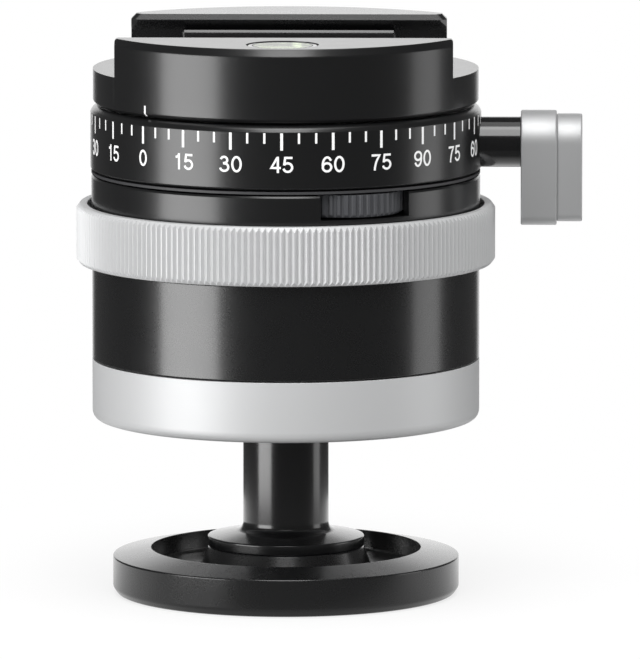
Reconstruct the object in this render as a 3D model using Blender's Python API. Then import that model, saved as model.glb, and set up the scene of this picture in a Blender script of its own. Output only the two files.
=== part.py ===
"""Inverted ball head for a tripod.

A round foot carries a stem and a ball. A cylindrical housing hangs over the ball, is locked by a
knurled ring, and carries a degree scale, a panning disc and a dovetail clamp on top.
Lengths are in metres, Z is up, and the origin is the middle of the foot's underside.
The front of the head faces -Y.
"""

from math import asin, atan2, cos, pi, radians, sin, sqrt

import bmesh
import bpy
from mathutils import Vector

# Clearances shared by all pieces
GAP = 0.0003            # between pieces that touch
OVERRUN = 0.002         # how far a cutter runs past the faces that it cuts

# Facets of the round pieces
ROUND_SIDES = 40
MEDIUM_SIDES = 28
SMALL_SIDES = 20
FINE_SIDES = 8
ARC_STEPS = 3
BALL_STEPS = 8
SHARP_ANGLE = radians(30)

# Foot disc
FOOT_RADIUS = 0.030
FOOT_EDGE_HEIGHT = 0.0065
FOOT_RIM_RISE = 0.0013
FOOT_CHAMFER_WIDTH = 0.0008
FOOT_CHAMFER_HEIGHT = 0.0011
RECESS_RADIUS = 0.0234
RECESS_FLOOR_HEIGHT = 0.0044
HUB_FOOT_RADIUS = 0.01485
HUB_TOP_RADIUS = 0.01345
HUB_HEIGHT = 0.0081
BUSH_FLANGE_RADIUS = 0.0090
BUSH_FLANGE_HEIGHT = 0.0020
BUSH_SHANK_RADIUS = 0.0058
BUSH_LENGTH = 0.0130
TRIPOD_THREAD_RADIUS = 0.00476      # 3/8 inch
PIN_RADIUS = 0.0010
PIN_PITCH_RADIUS = 0.0100
PIN_LENGTH = 0.0040

# Stem
FLANGE_RADIUS = 0.01355
FLANGE_EDGE_HEIGHT = 0.0015
FLANGE_CONE_RISE = 0.0012
STEM_RADIUS = 0.00742
STEM_FILLET = 0.0010
SPIGOT_RADIUS = 0.0050
SPIGOT_LENGTH = 0.0220

# Radius of the housing, which the ball and all round pieces of the head follow
HOUSING_RADIUS = 0.0335

# Ball and the screw that holds it on the stem
BALL_SHARE = 0.612                  # of the housing's radius
BALL_RADIUS = HOUSING_RADIUS * BALL_SHARE
BALL_LIFT = 0.0406                  # from the stem's foot to the ball's centre
BALL_SCREW_RADIUS = 0.0025
BALL_SCREW_LENGTH = 0.0260
BALL_SCREW_HEAD_RADIUS = 0.0043
BALL_SCREW_HEAD_HEIGHT = 0.0045

# Housing: collar, barrel, neck
HOUSING_DROP_SHARE = 0.9024         # of the ball's radius, down to the collar's lower face
COLLAR_HEIGHT_SHARE = 0.5122        # of the ball's radius, as the next share
BARREL_HEIGHT_SHARE = 0.790
HOUSING_DROP = BALL_RADIUS * HOUSING_DROP_SHARE
COLLAR_HEIGHT = BALL_RADIUS * COLLAR_HEIGHT_SHARE
BARREL_SHOULDER_HEIGHT = BALL_RADIUS * BARREL_HEIGHT_SHARE
COLLAR_ROUNDING = 0.00175
MOUTH_CLEARANCE = 0.0030            # between the ball's radius and the collar's mouth
BORE_CLEARANCE = 0.0021             # between the ball's radius and the barrel's bore
SHOULDER_WIDTH = 0.0025
SLEEVE_WALL = 0.0027
MOUTH_RADIUS = BALL_RADIUS + MOUTH_CLEARANCE
BARREL_BORE_RADIUS = BALL_RADIUS + BORE_CLEARANCE
SLEEVE_RADIUS = HOUSING_RADIUS - SHOULDER_WIDTH
SLEEVE_BORE_RADIUS = SLEEVE_RADIUS - SLEEVE_WALL
NOTCH_CLEARANCE = 0.0006
SEAT_WALL = 0.0045                  # from the ball's radius to the seat's outside
SEAT_HEIGHT_SHARE = 0.3317          # of the ball's radius
SEAT_DEPTH_SHARE = 0.5268           # of the ball's radius, down to the seat's lower face
SEAT_OUTER_RADIUS = BALL_RADIUS + SEAT_WALL
SEAT_HEIGHT = BALL_RADIUS * SEAT_HEIGHT_SHARE
SEAT_DEPTH = BALL_RADIUS * SEAT_DEPTH_SHARE
NECK_STEP = 0.0001                  # beyond the housing's radius
NECK_RADIUS = HOUSING_RADIUS + NECK_STEP
NECK_SKIRT_HEIGHT = 0.0067
NECK_FLOOR_DROP = 0.0048            # from the neck's top down to its lower plate face
NECK_CHAMFER = 0.00035
NECK_BORE_RADIUS = 0.0110

# Pressure cup and cam ring over the ball
CUP_TOP_SHARE = 0.839               # of the ball's radius, as the next three shares
CUP_RIM_SHARE = 0.3902
CUP_HOLE_SHARE = 0.6341
CAM_HOLE_SHARE = 0.7805
CUP_CLEARANCE = 0.0004              # in the barrel's bore
CUP_TOP_RISE = BALL_RADIUS * CUP_TOP_SHARE
CUP_RIM_RISE = BALL_RADIUS * CUP_RIM_SHARE
CUP_INNER_RADIUS = BALL_RADIUS * CUP_HOLE_SHARE
CUP_OUTER_RADIUS = BARREL_BORE_RADIUS - CUP_CLEARANCE
CAM_FLANGE_HEIGHT = 0.0014
CAM_INNER_RADIUS = BALL_RADIUS * CAM_HOLE_SHARE
CAM_WALL = 0.0030

# Knurled lock ring
RING_STEP = 0.0027                  # beyond the housing's radius
RING_THROAT_CLEARANCE = 0.0007      # round the neck
RING_RADIUS = HOUSING_RADIUS + RING_STEP
RING_THROAT_RADIUS = NECK_RADIUS + RING_THROAT_CLEARANCE
RING_LIP_HEIGHT = 0.0020            # above the ledge that covers the sleeve
RING_LOWER_CHAMFER_WIDTH = 0.0011
RING_LOWER_CHAMFER_HEIGHT = 0.0010
RING_UPPER_CHAMFER = 0.00045
TOOTH_COUNT = 208
TOOTH_DEPTH = 0.0004
TOOTH_COLUMNS = 4                   # knurl columns for one facet of the smooth faces
KEY_COUNT = 3
KEY_RADIUS = 0.0015
KEY_LENGTH = 0.0075
KEY_LEVEL_SHARE = 0.39              # of the way from the cam ring's foot to the sleeve's top
RING_TURN = radians(60)
FIRST_KEY_ANGLE = radians(130)

# Friction thumbwheel in the neck
WHEEL_SHARE = 0.3164                # of the housing's radius
WHEEL_RADIUS = HOUSING_RADIUS * WHEEL_SHARE
WHEEL_PROUD = 0.0004                # beyond the neck's wall
WHEEL_HEIGHT = 0.0039
WHEEL_CHAMFER = 0.0005
WINDOW_SHARE = 0.78                 # of the wheel's radius, half the window's width
WHEEL_ANGLE = radians(-64.3)
WHEEL_TEETH = 50
WHEEL_TOOTH_DEPTH = 0.00035
WHEEL_AXLE_RADIUS = 0.0015
WHEEL_POCKET_FLOOR = 0.0042         # below the neck's top

# Screws of the housing
NECK_SCREW_COUNT = 4
SCALE_SCREW_COUNT = 3
SCREW_RADIUS = 0.0010
SCREW_HEAD_RADIUS = 0.0018
SCREW_HEAD_HEIGHT = 0.0014
NECK_SCREW_LENGTH = 0.0090
SCALE_SCREW_LENGTH = 0.0125
SCALE_SCREW_INSET = 0.01175         # from the scale ring's wall
FIRST_SCALE_SCREW_ANGLE = radians(45)
SCALE_SCREW_STEP = radians(90)

# Washer and scale ring
WASHER_HEIGHT = 0.00045
SCALE_STEP = 0.00015                # beyond the neck's radius
SCALE_RADIUS = NECK_RADIUS + SCALE_STEP
SCALE_HEIGHT = 0.01105
SCALE_ROUNDING = 0.0012
SCALE_LOWER_CHAMFER = 0.0003

# Panning spindle
SPINDLE_RADIUS = 0.0090
SPINDLE_TAIL_RADIUS = 0.0060
SPINDLE_NUT_RADIUS = 0.0104
SPINDLE_NUT_HEIGHT = 0.0030
DECK_SCREW_RADIUS = 0.0025
DECK_SCREW_HEAD_RADIUS = 0.0045
DECK_SCREW_HEAD_HEIGHT = 0.0026
DECK_SCREW_LENGTH = 0.0100
DECK_SCREW_SINK = 0.0004

# Pan lock: shoe, shaft and lever along +X
LOCK_AXIS_DROP = 0.0065             # below the scale ring's top
LOCK_SHAFT_RADIUS = 0.00435
LOCK_SPIGOT_RADIUS = 0.0032
LOCK_SHOE_LENGTH = 0.0044
LOCK_SHAFT_REACH = 0.00655          # from the scale ring's wall to the lever
LOCK_SHAFT_END = SCALE_RADIUS + LOCK_SHAFT_REACH
LEVER_WIDTH = 0.0110
LEVER_THICKNESS = 0.0061
LEVER_HANG = 0.0140
LEVER_CORNER = 0.0017
LEVER_CHAMFER = 0.0003
CAP_INSET = 0.0006
CAP_THICKNESS = 0.0042

# Clamp disc with its fixed jaw
DISC_STEP = 0.00045                 # inside the scale ring's radius
DISC_RADIUS = SCALE_RADIUS - DISC_STEP
DISC_HEIGHT = 0.0060
DISC_LOWER_CHAMFER = 0.0006
JAW_HEIGHT = 0.0066
JAW_CHAMFER_WIDTH = 0.0007
JAW_CHAMFER_HEIGHT = 0.00125
JAW_LENGTH_SHARE = 0.8709           # of the disc's radius, as all shares of the clamp
FIXED_LIP_SHARE = 0.4114
JAW_HALF_LENGTH = DISC_RADIUS * JAW_LENGTH_SHARE
FIXED_LIP_Y = -DISC_RADIUS * FIXED_LIP_SHARE
LIP_THICKNESS = 0.0011
UNDERCUT_DEPTH = 0.0017
RELIEF_DEPTH = 0.0004               # of the deck under both lips, below the plate's seat
RELIEF_MARGIN = 0.0006              # from a lip to the seat's edge
LEVEL_RADIUS = 0.0059
LEVEL_WALL = 0.0007
LEVEL_DEPTH = 0.0045
LEVEL_SINK = 0.0002
LEVEL_MARGIN = 0.0020               # to the fixed jaw's top edge

# Sliding rear jaw, its pad and guide rods
OPENING_SHARE = 1.1411
REAR_JAW_LENGTH_SHARE = 0.8288
PAD_LENGTH_SHARE = 0.5586
GUIDE_ROD_SHARE = 0.3904
REAR_JAW_OVERHANG = 0.0062          # beyond the disc's radius
CLAMP_OPENING = DISC_RADIUS * OPENING_SHARE
REAR_JAW_RADIUS = DISC_RADIUS + REAR_JAW_OVERHANG
REAR_JAW_HALF_LENGTH = DISC_RADIUS * REAR_JAW_LENGTH_SHARE
REAR_JAW_CORNER = 0.0011
REAR_JAW_CHAMFER = 0.0009
PAD_HALF_LENGTH = DISC_RADIUS * PAD_LENGTH_SHARE
PAD_HEIGHT = 0.0032
PAD_PROUD = 0.0010
PAD_CHAMFER = 0.0005
GUIDE_ROD_RADIUS = 0.0015
GUIDE_ROD_X = DISC_RADIUS * GUIDE_ROD_SHARE
GUIDE_ROD_LENGTH = 0.0220
GUIDE_ROD_WALL = 0.0018             # left behind a rod's blind hole in the rear jaw

# Clamp lever on the rear jaw
CLAMP_LEVER_HEIGHT = 0.0052
CLAMP_LEVER_WIDTH = 0.0045
CLAMP_PIVOT_ANGLE = radians(126)
CLAMP_TIP_ANGLE = radians(58)
CLAMP_BOSS_RADIUS = 0.0027
CLAMP_PIN_RADIUS = 0.0012
CLAMP_PIN_WALL = 0.0015             # jaw left outside the pin's hole
CLAMP_FORK_LENGTH = 0.0078          # slot in the jaw beside the pivot

# Levels, from the foot up
STEM_Z = HUB_HEIGHT + GAP
BALL_Z = STEM_Z + BALL_LIFT
COLLAR_Z = BALL_Z - HOUSING_DROP
COLLAR_TOP_Z = COLLAR_Z + COLLAR_HEIGHT
BARREL_Z = COLLAR_TOP_Z + GAP
SHOULDER_Z = BARREL_Z + BARREL_SHOULDER_HEIGHT
WIDENING_Z = BALL_Z + STEM_RADIUS + NOTCH_CLEARANCE + GAP
CUP_TOP_Z = BALL_Z + CUP_TOP_RISE
CAM_FOOT_Z = WIDENING_Z + GAP
CAM_Z = CUP_TOP_Z + GAP
CAM_TOP_Z = CAM_Z + CAM_FLANGE_HEIGHT
NECK_PLATE_Z = CAM_TOP_Z + GAP
NECK_TOP_Z = NECK_PLATE_Z + NECK_FLOOR_DROP
NECK_Z = NECK_TOP_Z - NECK_SKIRT_HEIGHT
SLEEVE_TOP_Z = NECK_Z - GAP
RING_Z = SHOULDER_Z + GAP
RING_TOP_Z = SLEEVE_TOP_Z + RING_LIP_HEIGHT
KEY_Z = CAM_FOOT_Z + KEY_LEVEL_SHARE * (SLEEVE_TOP_Z - CAM_FOOT_Z)
WASHER_Z = NECK_TOP_Z + GAP
SCALE_Z = WASHER_Z + WASHER_HEIGHT + GAP
SCALE_TOP_Z = SCALE_Z + SCALE_HEIGHT
DISC_Z = SCALE_TOP_Z + GAP
DECK_Z = DISC_Z + DISC_HEIGHT
JAW_TOP_Z = DECK_Z + JAW_HEIGHT
SEAT_Z = BALL_Z - SEAT_DEPTH
WHEEL_Z = NECK_TOP_Z - WHEEL_HEIGHT
LOCK_AXIS_Z = SCALE_TOP_Z - LOCK_AXIS_DROP
LEVER_X = LOCK_SHAFT_END + GAP
REAR_LIP_Y = FIXED_LIP_Y + CLAMP_OPENING
ROD_Z = (DISC_Z + DECK_Z) / 2
WHEEL_PITCH_RADIUS = NECK_RADIUS + WHEEL_PROUD - WHEEL_RADIUS
NECK_SCREW_PITCH_RADIUS = (SLEEVE_RADIUS + SLEEVE_BORE_RADIUS) / 2
SCALE_SCREW_PITCH_RADIUS = SCALE_RADIUS - SCALE_SCREW_INSET
CAM_OUTER_RADIUS = SLEEVE_BORE_RADIUS - GAP


def clear_scene():
    """Empty the scene before the model is made."""
    for old in list(bpy.data.objects):
        bpy.data.objects.remove(old, do_unlink=True)


def finish(name, colour, roughness, metallic):
    """A plain Principled material."""
    material = bpy.data.materials.new(name)
    material.use_nodes = True
    shader = material.node_tree.nodes["Principled BSDF"]
    shader.inputs["Base Color"].default_value = (*colour, 1)
    shader.inputs["Roughness"].default_value = roughness
    shader.inputs["Metallic"].default_value = metallic
    material.diffuse_color = (*colour, 1)
    return material


def black_anodised(name):
    return finish(name, (0.020, 0.020, 0.022), 0.38, 0.6)


def silver_anodised(name):
    return finish(name, (0.68, 0.69, 0.70), 0.42, 0.9)


def steel(name):
    return finish(name, (0.45, 0.45, 0.47), 0.28, 1.0)


def brass(name):
    return finish(name, (0.62, 0.48, 0.22), 0.35, 1.0)


def black_plastic(name):
    return finish(name, (0.03, 0.03, 0.03), 0.5, 0.0)


def clear_plastic(name):
    return finish(name, (0.80, 0.86, 0.80), 0.08, 0.0)


def add_object(name, bm, material=None, at=(0, 0, 0), parent=None):
    """Make one closed mesh object whose local origin stands at a place in the world."""
    bmesh.ops.recalc_face_normals(bm, faces=bm.faces)
    mesh = bpy.data.meshes.new(name)
    bm.to_mesh(mesh)
    bm.free()
    mesh.shade_smooth()
    mesh.set_sharp_from_angle(angle=SHARP_ANGLE)
    made = bpy.data.objects.new(name, mesh)
    bpy.context.scene.collection.objects.link(made)
    if material is not None:
        mesh.materials.append(material(name + "_finish"))
    made.location = at
    if parent is not None:
        made.parent = parent
        made.location = Vector(at) - world_place(parent)
    return made


def world_place(item):
    """The world place of an unturned empty or object, through its parents."""
    place = item.location.copy()
    while item.parent is not None:
        item = item.parent
        place += item.location
    return place


def pivot(name, at, parent=None):
    """An empty on a joint's axis, which carries the pieces that move together."""
    empty = bpy.data.objects.new(name, None)
    bpy.context.scene.collection.objects.link(empty)
    empty.location = at
    if parent is not None:
        empty.parent = parent
        empty.location = Vector(at) - world_place(parent)
    return empty


def cut(target, cutter):
    """Subtract a cutter, which stays in the file as a wire shape."""
    cutter.hide_render = True
    cutter.display_type = "WIRE"
    boolean = target.modifiers.new(cutter.name, "BOOLEAN")
    boolean.operation = "DIFFERENCE"
    boolean.solver = "EXACT"
    boolean.object = cutter


def arc(centre, radius, start, end, steps=ARC_STEPS):
    """Points along an arc, both ends included."""
    points = []
    for i in range(steps + 1):
        angle = start + (end - start) * i / steps
        points.append((centre[0] + radius * cos(angle), centre[1] + radius * sin(angle)))
    return points


def ring_row(bm, sides, radius, height):
    """A circle of vertices about Z, or one vertex on the axis."""
    if radius == 0:
        return [bm.verts.new((0, 0, height))]
    row = []
    for i in range(sides):
        angle = 2 * pi * i / sides
        row.append(bm.verts.new((radius * cos(angle), radius * sin(angle), height)))
    return row


def toothed_row(bm, teeth, tip, root, height):
    """A circle of vertices that alternates between tooth tips and roots."""
    row = []
    for i in range(2 * teeth):
        angle = pi * i / teeth
        radius = tip if i % 2 == 0 else root
        row.append(bm.verts.new((radius * cos(angle), radius * sin(angle), height)))
    return row


def join_rows(bm, first, second):
    """Skin two rows whose counts are equal, or one of which is a multiple of the other."""
    if len(first) < len(second):
        first, second = second, first
    many, few = len(first), len(second)
    if few == 1:
        for i in range(many):
            bm.faces.new((first[i], first[(i + 1) % many], second[0]))
        return
    step = many // few
    if step == 1:
        for i in range(many):
            j = (i + 1) % many
            bm.faces.new((first[i], first[j], second[j], second[i]))
        return
    middle = step // 2
    for i in range(few):
        near, far = second[i], second[(i + 1) % few]
        for k in range(step):
            a = first[i * step + k]
            b = first[(i * step + k + 1) % many]
            bm.faces.new((a, b, near if k < middle else far))
        bm.faces.new((first[i * step + middle], far, near))


def turned(name, profile, material=None, sides=ROUND_SIDES, at=(0, 0, 0), parent=None):
    """Turn a closed (radius, height) profile about Z. A profile on the axis starts and ends there."""
    bm = bmesh.new()
    rows = [ring_row(bm, sides, radius, height) for radius, height in profile]
    for first, second in zip(rows, rows[1:]):
        join_rows(bm, first, second)
    if len(rows[0]) > 1:
        join_rows(bm, rows[-1], rows[0])
    return add_object(name, bm, material, at, parent)


def prism(name, outline, low, high, material=None, at=(0, 0, 0), parent=None, chamfer=0):
    """Extrude a closed (x, y) outline from low to high, with its upper edges chamfered if asked."""
    bm = bmesh.new()
    lower = [bm.verts.new((x, y, low)) for x, y in outline]
    upper = [bm.verts.new((x, y, high)) for x, y in outline]
    bm.faces.new(lower)
    top = bm.faces.new(upper)
    for i in range(len(outline)):
        j = (i + 1) % len(outline)
        bm.faces.new((lower[i], lower[j], upper[j], upper[i]))
    if chamfer:
        bmesh.ops.bevel(bm, geom=list(top.edges), offset=chamfer, segments=1, affect="EDGES")
    return add_object(name, bm, material, at, parent)


def block(name, low, high):
    """A rectangular cutter between two corners."""
    outline = [(low[0], low[1]), (high[0], low[1]), (high[0], high[1]), (low[0], high[1])]
    return prism(name, outline, low[2], high[2])


def rod(name, radius, start, end, material=None, sides=SMALL_SIDES, parent=None):
    """A round bar between two points, its origin at the start."""
    start, end = Vector(start), Vector(end)
    length = (end - start).length
    made = turned(name, [(0, 0), (radius, 0), (radius, length), (0, length)], material, sides)
    turn = Vector((0, 0, 1)).rotation_difference((end - start).normalized())
    made.rotation_euler = turn.to_euler()
    made.location = start if parent is None else start - world_place(parent)
    made.parent = parent
    return made


def around(radius, angle, height=0):
    """A point at a radius and an angle about the head's axis."""
    return (radius * cos(angle), radius * sin(angle), height)


def ball_level(radius, of_radius, side):
    """Height of a sphere about the ball's centre at a radius; side is 1 above it and -1 below."""
    return BALL_Z + side * sqrt(of_radius ** 2 - radius ** 2)


def cap_screw(name, place, head_radius, head_height, radius, length, parent):
    """A cap screw that points down, with its head's top at the place."""
    profile = [(0, 0), (head_radius, 0), (head_radius, -head_height), (radius, -head_height),
               (radius, -length), (0, -length)]
    return turned(name, profile, steel, FINE_SIDES, place, parent)


def screw_hole(name, target, place, head_radius, head_height, radius, length):
    """A stepped hole for a cap screw, which clears it all round."""
    profile = [(0, OVERRUN), (head_radius + GAP, OVERRUN), (head_radius + GAP, -head_height - GAP),
               (radius + GAP, -head_height - GAP), (radius + GAP, -length - GAP),
               (0, -length - GAP)]
    cut(target, turned(name, profile, None, FINE_SIDES, place))


def make_foot():
    """The foot disc, its thread bush and the pin that stops it turning under the stem."""
    rim_top = FOOT_EDGE_HEIGHT + FOOT_RIM_RISE
    bore = BUSH_SHANK_RADIUS + GAP
    counterbore = BUSH_FLANGE_RADIUS + GAP
    bush_seat = BUSH_FLANGE_HEIGHT + GAP
    profile = [(bore, HUB_HEIGHT), (HUB_TOP_RADIUS, HUB_HEIGHT),
               (HUB_FOOT_RADIUS, RECESS_FLOOR_HEIGHT), (RECESS_RADIUS, RECESS_FLOOR_HEIGHT),
               (RECESS_RADIUS, rim_top), (FOOT_RADIUS, FOOT_EDGE_HEIGHT),
               (FOOT_RADIUS, FOOT_CHAMFER_HEIGHT), (FOOT_RADIUS - FOOT_CHAMFER_WIDTH, 0),
               (counterbore, 0), (counterbore, bush_seat), (bore, bush_seat)]
    foot = turned("foot_disc", profile, black_anodised)
    bush = [(TRIPOD_THREAD_RADIUS, 0), (BUSH_FLANGE_RADIUS, 0),
            (BUSH_FLANGE_RADIUS, BUSH_FLANGE_HEIGHT), (BUSH_SHANK_RADIUS, BUSH_FLANGE_HEIGHT),
            (BUSH_SHANK_RADIUS, BUSH_LENGTH), (TRIPOD_THREAD_RADIUS, BUSH_LENGTH)]
    turned("tripod_bush", bush, steel, SMALL_SIDES)
    pin_low = STEM_Z + PIN_RADIUS - PIN_LENGTH
    pin_place = (-PIN_PITCH_RADIUS, 0, pin_low)
    pin_top = (-PIN_PITCH_RADIUS, 0, pin_low + PIN_LENGTH)
    rod("foot_pin", PIN_RADIUS, pin_place, pin_top, steel, FINE_SIDES)
    hole_low = (-PIN_PITCH_RADIUS, 0, pin_low - GAP)
    hole_top = (-PIN_PITCH_RADIUS, 0, pin_low + PIN_LENGTH + GAP)
    hole = rod("foot_pin_hole", PIN_RADIUS + GAP, hole_low, hole_top, None, FINE_SIDES)
    cut(foot, hole)
    return hole


def make_stem(pin_hole):
    """The stem with its flanged foot, bored from below for the bush."""
    cone_top = STEM_Z + FLANGE_EDGE_HEIGHT + FLANGE_CONE_RISE
    fillet = arc((STEM_RADIUS + STEM_FILLET, cone_top + STEM_FILLET), STEM_FILLET, -pi / 2, -pi)
    shoulder = ball_level(STEM_RADIUS, BALL_RADIUS, -1) - GAP
    spigot_top = shoulder + SPIGOT_LENGTH
    bore = BUSH_SHANK_RADIUS + GAP
    bore_top = BUSH_LENGTH + GAP
    thread = BALL_SCREW_RADIUS + GAP
    thread_low = ball_screw_top() - BALL_SCREW_LENGTH - GAP
    profile = [(0, thread_low), (thread, thread_low), (thread, spigot_top),
               (SPIGOT_RADIUS, spigot_top), (SPIGOT_RADIUS, shoulder), (STEM_RADIUS, shoulder)]
    profile += reversed(fillet)
    profile += [(FLANGE_RADIUS, STEM_Z + FLANGE_EDGE_HEIGHT), (FLANGE_RADIUS, STEM_Z),
                (bore, STEM_Z), (bore, bore_top), (0, bore_top)]
    stem = turned("stem", profile, black_anodised, MEDIUM_SIDES)
    cut(stem, pin_hole)


def ball_screw_top():
    """Height of the ball screw's head, sunk in the ball's crown."""
    return ball_level(BALL_SCREW_HEAD_RADIUS, BALL_RADIUS, 1) - GAP


def make_ball(parent):
    """The ball, bored for the stem's spigot, with a flat where it meets the stem."""
    flat = ball_level(STEM_RADIUS, BALL_RADIUS, -1)
    spigot_top = flat - GAP + SPIGOT_LENGTH + GAP
    bore = SPIGOT_RADIUS + GAP
    hole = BALL_SCREW_RADIUS + GAP
    head_hole = BALL_SCREW_HEAD_RADIUS + GAP
    head_seat = ball_screw_top() - BALL_SCREW_HEAD_HEIGHT - GAP
    low_angle = -atan2(BALL_Z - flat, STEM_RADIUS)
    top_angle = pi / 2 - asin(head_hole / BALL_RADIUS)
    profile = arc((0, BALL_Z), BALL_RADIUS, top_angle, low_angle, BALL_STEPS)
    profile += [(bore, flat), (bore, spigot_top), (hole, spigot_top), (hole, head_seat),
                (head_hole, head_seat)]
    place = (0, 0, BALL_Z)
    local = [(radius, height - BALL_Z) for radius, height in profile]
    turned("ball", local, black_anodised, MEDIUM_SIDES, place, parent)
    cap_screw("ball_screw", (0, 0, ball_screw_top()), BALL_SCREW_HEAD_RADIUS,
              BALL_SCREW_HEAD_HEIGHT, BALL_SCREW_RADIUS, BALL_SCREW_LENGTH, parent)


def make_cup(parent):
    """The pressure cup, a ring with a spherical face that bears on the ball's upper half."""
    face = BALL_RADIUS + GAP
    low_radius = sqrt(face ** 2 - CUP_RIM_RISE ** 2)
    start = atan2(CUP_RIM_RISE, low_radius)
    end = pi / 2 - asin(CUP_INNER_RADIUS / face)
    profile = arc((0, 0), face, start, end, ARC_STEPS + 1)
    profile += [(CUP_INNER_RADIUS, CUP_TOP_RISE), (CUP_OUTER_RADIUS, CUP_TOP_RISE),
                (CUP_OUTER_RADIUS, CUP_RIM_RISE)]
    turned("pressure_cup", profile, black_plastic, MEDIUM_SIDES, (0, 0, BALL_Z), parent)


def drop_notch():
    """The slot at the back that the stem drops into when the head is tipped on its side."""
    half = STEM_RADIUS + NOTCH_CLEARANCE
    low = COLLAR_Z - OVERRUN - BALL_Z
    outline = [(-half, low), (half, low)] + arc((0, 0), half, 0, pi, 2 * ARC_STEPS)
    # Drawn in X and Y and stood up, the outline runs out along +Y from the ball's centre.
    notch = prism("drop_notch", outline, -HOUSING_RADIUS - OVERRUN, 0, None, (0, 0, BALL_Z))
    notch.rotation_euler = (pi / 2, 0, 0)
    return notch


def make_collar_and_barrel(parent):
    """The collar, the seat ring under the ball, and the barrel with its inner sleeve."""
    notch = drop_notch()
    seat_face = BALL_RADIUS + GAP
    seat_top = SEAT_Z + SEAT_HEIGHT
    seat_low_radius = sqrt(seat_face ** 2 - SEAT_DEPTH ** 2)
    seat_top_radius = sqrt(seat_face ** 2 - (BALL_Z - seat_top) ** 2)
    face = arc((0, BALL_Z), seat_face, -atan2(BALL_Z - seat_top, seat_top_radius),
               -atan2(SEAT_DEPTH, seat_low_radius), 3)
    seat = face + [(SEAT_OUTER_RADIUS, SEAT_Z), (SEAT_OUTER_RADIUS, seat_top)]
    lower_seat = turned("lower_seat", seat, black_plastic, MEDIUM_SIDES, (0, 0, 0), parent)
    cut(lower_seat, notch)

    pocket = SEAT_OUTER_RADIUS + GAP
    rounding = arc((HOUSING_RADIUS - COLLAR_ROUNDING, COLLAR_Z + COLLAR_ROUNDING), COLLAR_ROUNDING,
                   0, -pi / 2)
    profile = [(pocket, COLLAR_TOP_Z), (HOUSING_RADIUS, COLLAR_TOP_Z)] + rounding
    profile += [(MOUTH_RADIUS, COLLAR_Z), (seat_low_radius + GAP, SEAT_Z - GAP),
                (pocket, SEAT_Z - GAP)]
    collar = turned("ball_collar", profile, silver_anodised, ROUND_SIDES, (0, 0, 0), parent)
    cut(collar, notch)

    profile = [(SLEEVE_BORE_RADIUS, SLEEVE_TOP_Z), (SLEEVE_RADIUS, SLEEVE_TOP_Z),
               (SLEEVE_RADIUS, SHOULDER_Z), (HOUSING_RADIUS, SHOULDER_Z),
               (HOUSING_RADIUS, BARREL_Z), (pocket, BARREL_Z), (pocket, seat_top + GAP),
               (BARREL_BORE_RADIUS, seat_top + GAP), (BARREL_BORE_RADIUS, WIDENING_Z),
               (SLEEVE_BORE_RADIUS, WIDENING_Z)]
    barrel = turned("barrel", profile, black_anodised, ROUND_SIDES, (0, 0, 0), parent)
    cut(barrel, notch)
    for i in range(KEY_COUNT):
        cut(barrel, key_slot(i))
    for i in range(NECK_SCREW_COUNT):
        neck_screw_hole("barrel_screw_hole_", barrel, i)
    return barrel


def key_angle(i):
    return FIRST_KEY_ANGLE + 2 * pi * i / KEY_COUNT


def key_slot(i):
    """A slot through the sleeve that a key sweeps as the lock ring turns."""
    reach = (KEY_RADIUS + GAP) / SLEEVE_BORE_RADIUS
    start = key_angle(i) - reach
    end = key_angle(i) + RING_TURN + reach
    inner = SLEEVE_BORE_RADIUS - OVERRUN
    outer = SLEEVE_RADIUS + OVERRUN
    outline = arc((0, 0), inner, start, end) + arc((0, 0), outer, end, start)
    half = KEY_RADIUS + GAP
    return prism(f"key_slot_{i + 1}", outline, KEY_Z - half, KEY_Z + half)


def neck_screw_angle(i):
    """The neck screws stand clear of the thumbwheel, on both sides of it."""
    return WHEEL_ANGLE + 2 * pi * (i + 1 / 2) / NECK_SCREW_COUNT


def neck_screw_hole(name, target, i):
    place = around(NECK_SCREW_PITCH_RADIUS, neck_screw_angle(i), NECK_TOP_Z - GAP)
    screw_hole(f"{name}{i + 1}", target, place, SCREW_HEAD_RADIUS, SCREW_HEAD_HEIGHT,
               SCREW_RADIUS, NECK_SCREW_LENGTH)


def scale_screw_angle(i):
    return FIRST_SCALE_SCREW_ANGLE + SCALE_SCREW_STEP * i


def scale_screw_hole(name, target, i):
    place = around(SCALE_SCREW_PITCH_RADIUS, scale_screw_angle(i), SCALE_TOP_Z - GAP)
    screw_hole(f"{name}{i + 1}", target, place, SCREW_HEAD_RADIUS, SCREW_HEAD_HEIGHT,
               SCREW_RADIUS, SCALE_SCREW_LENGTH)


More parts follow.
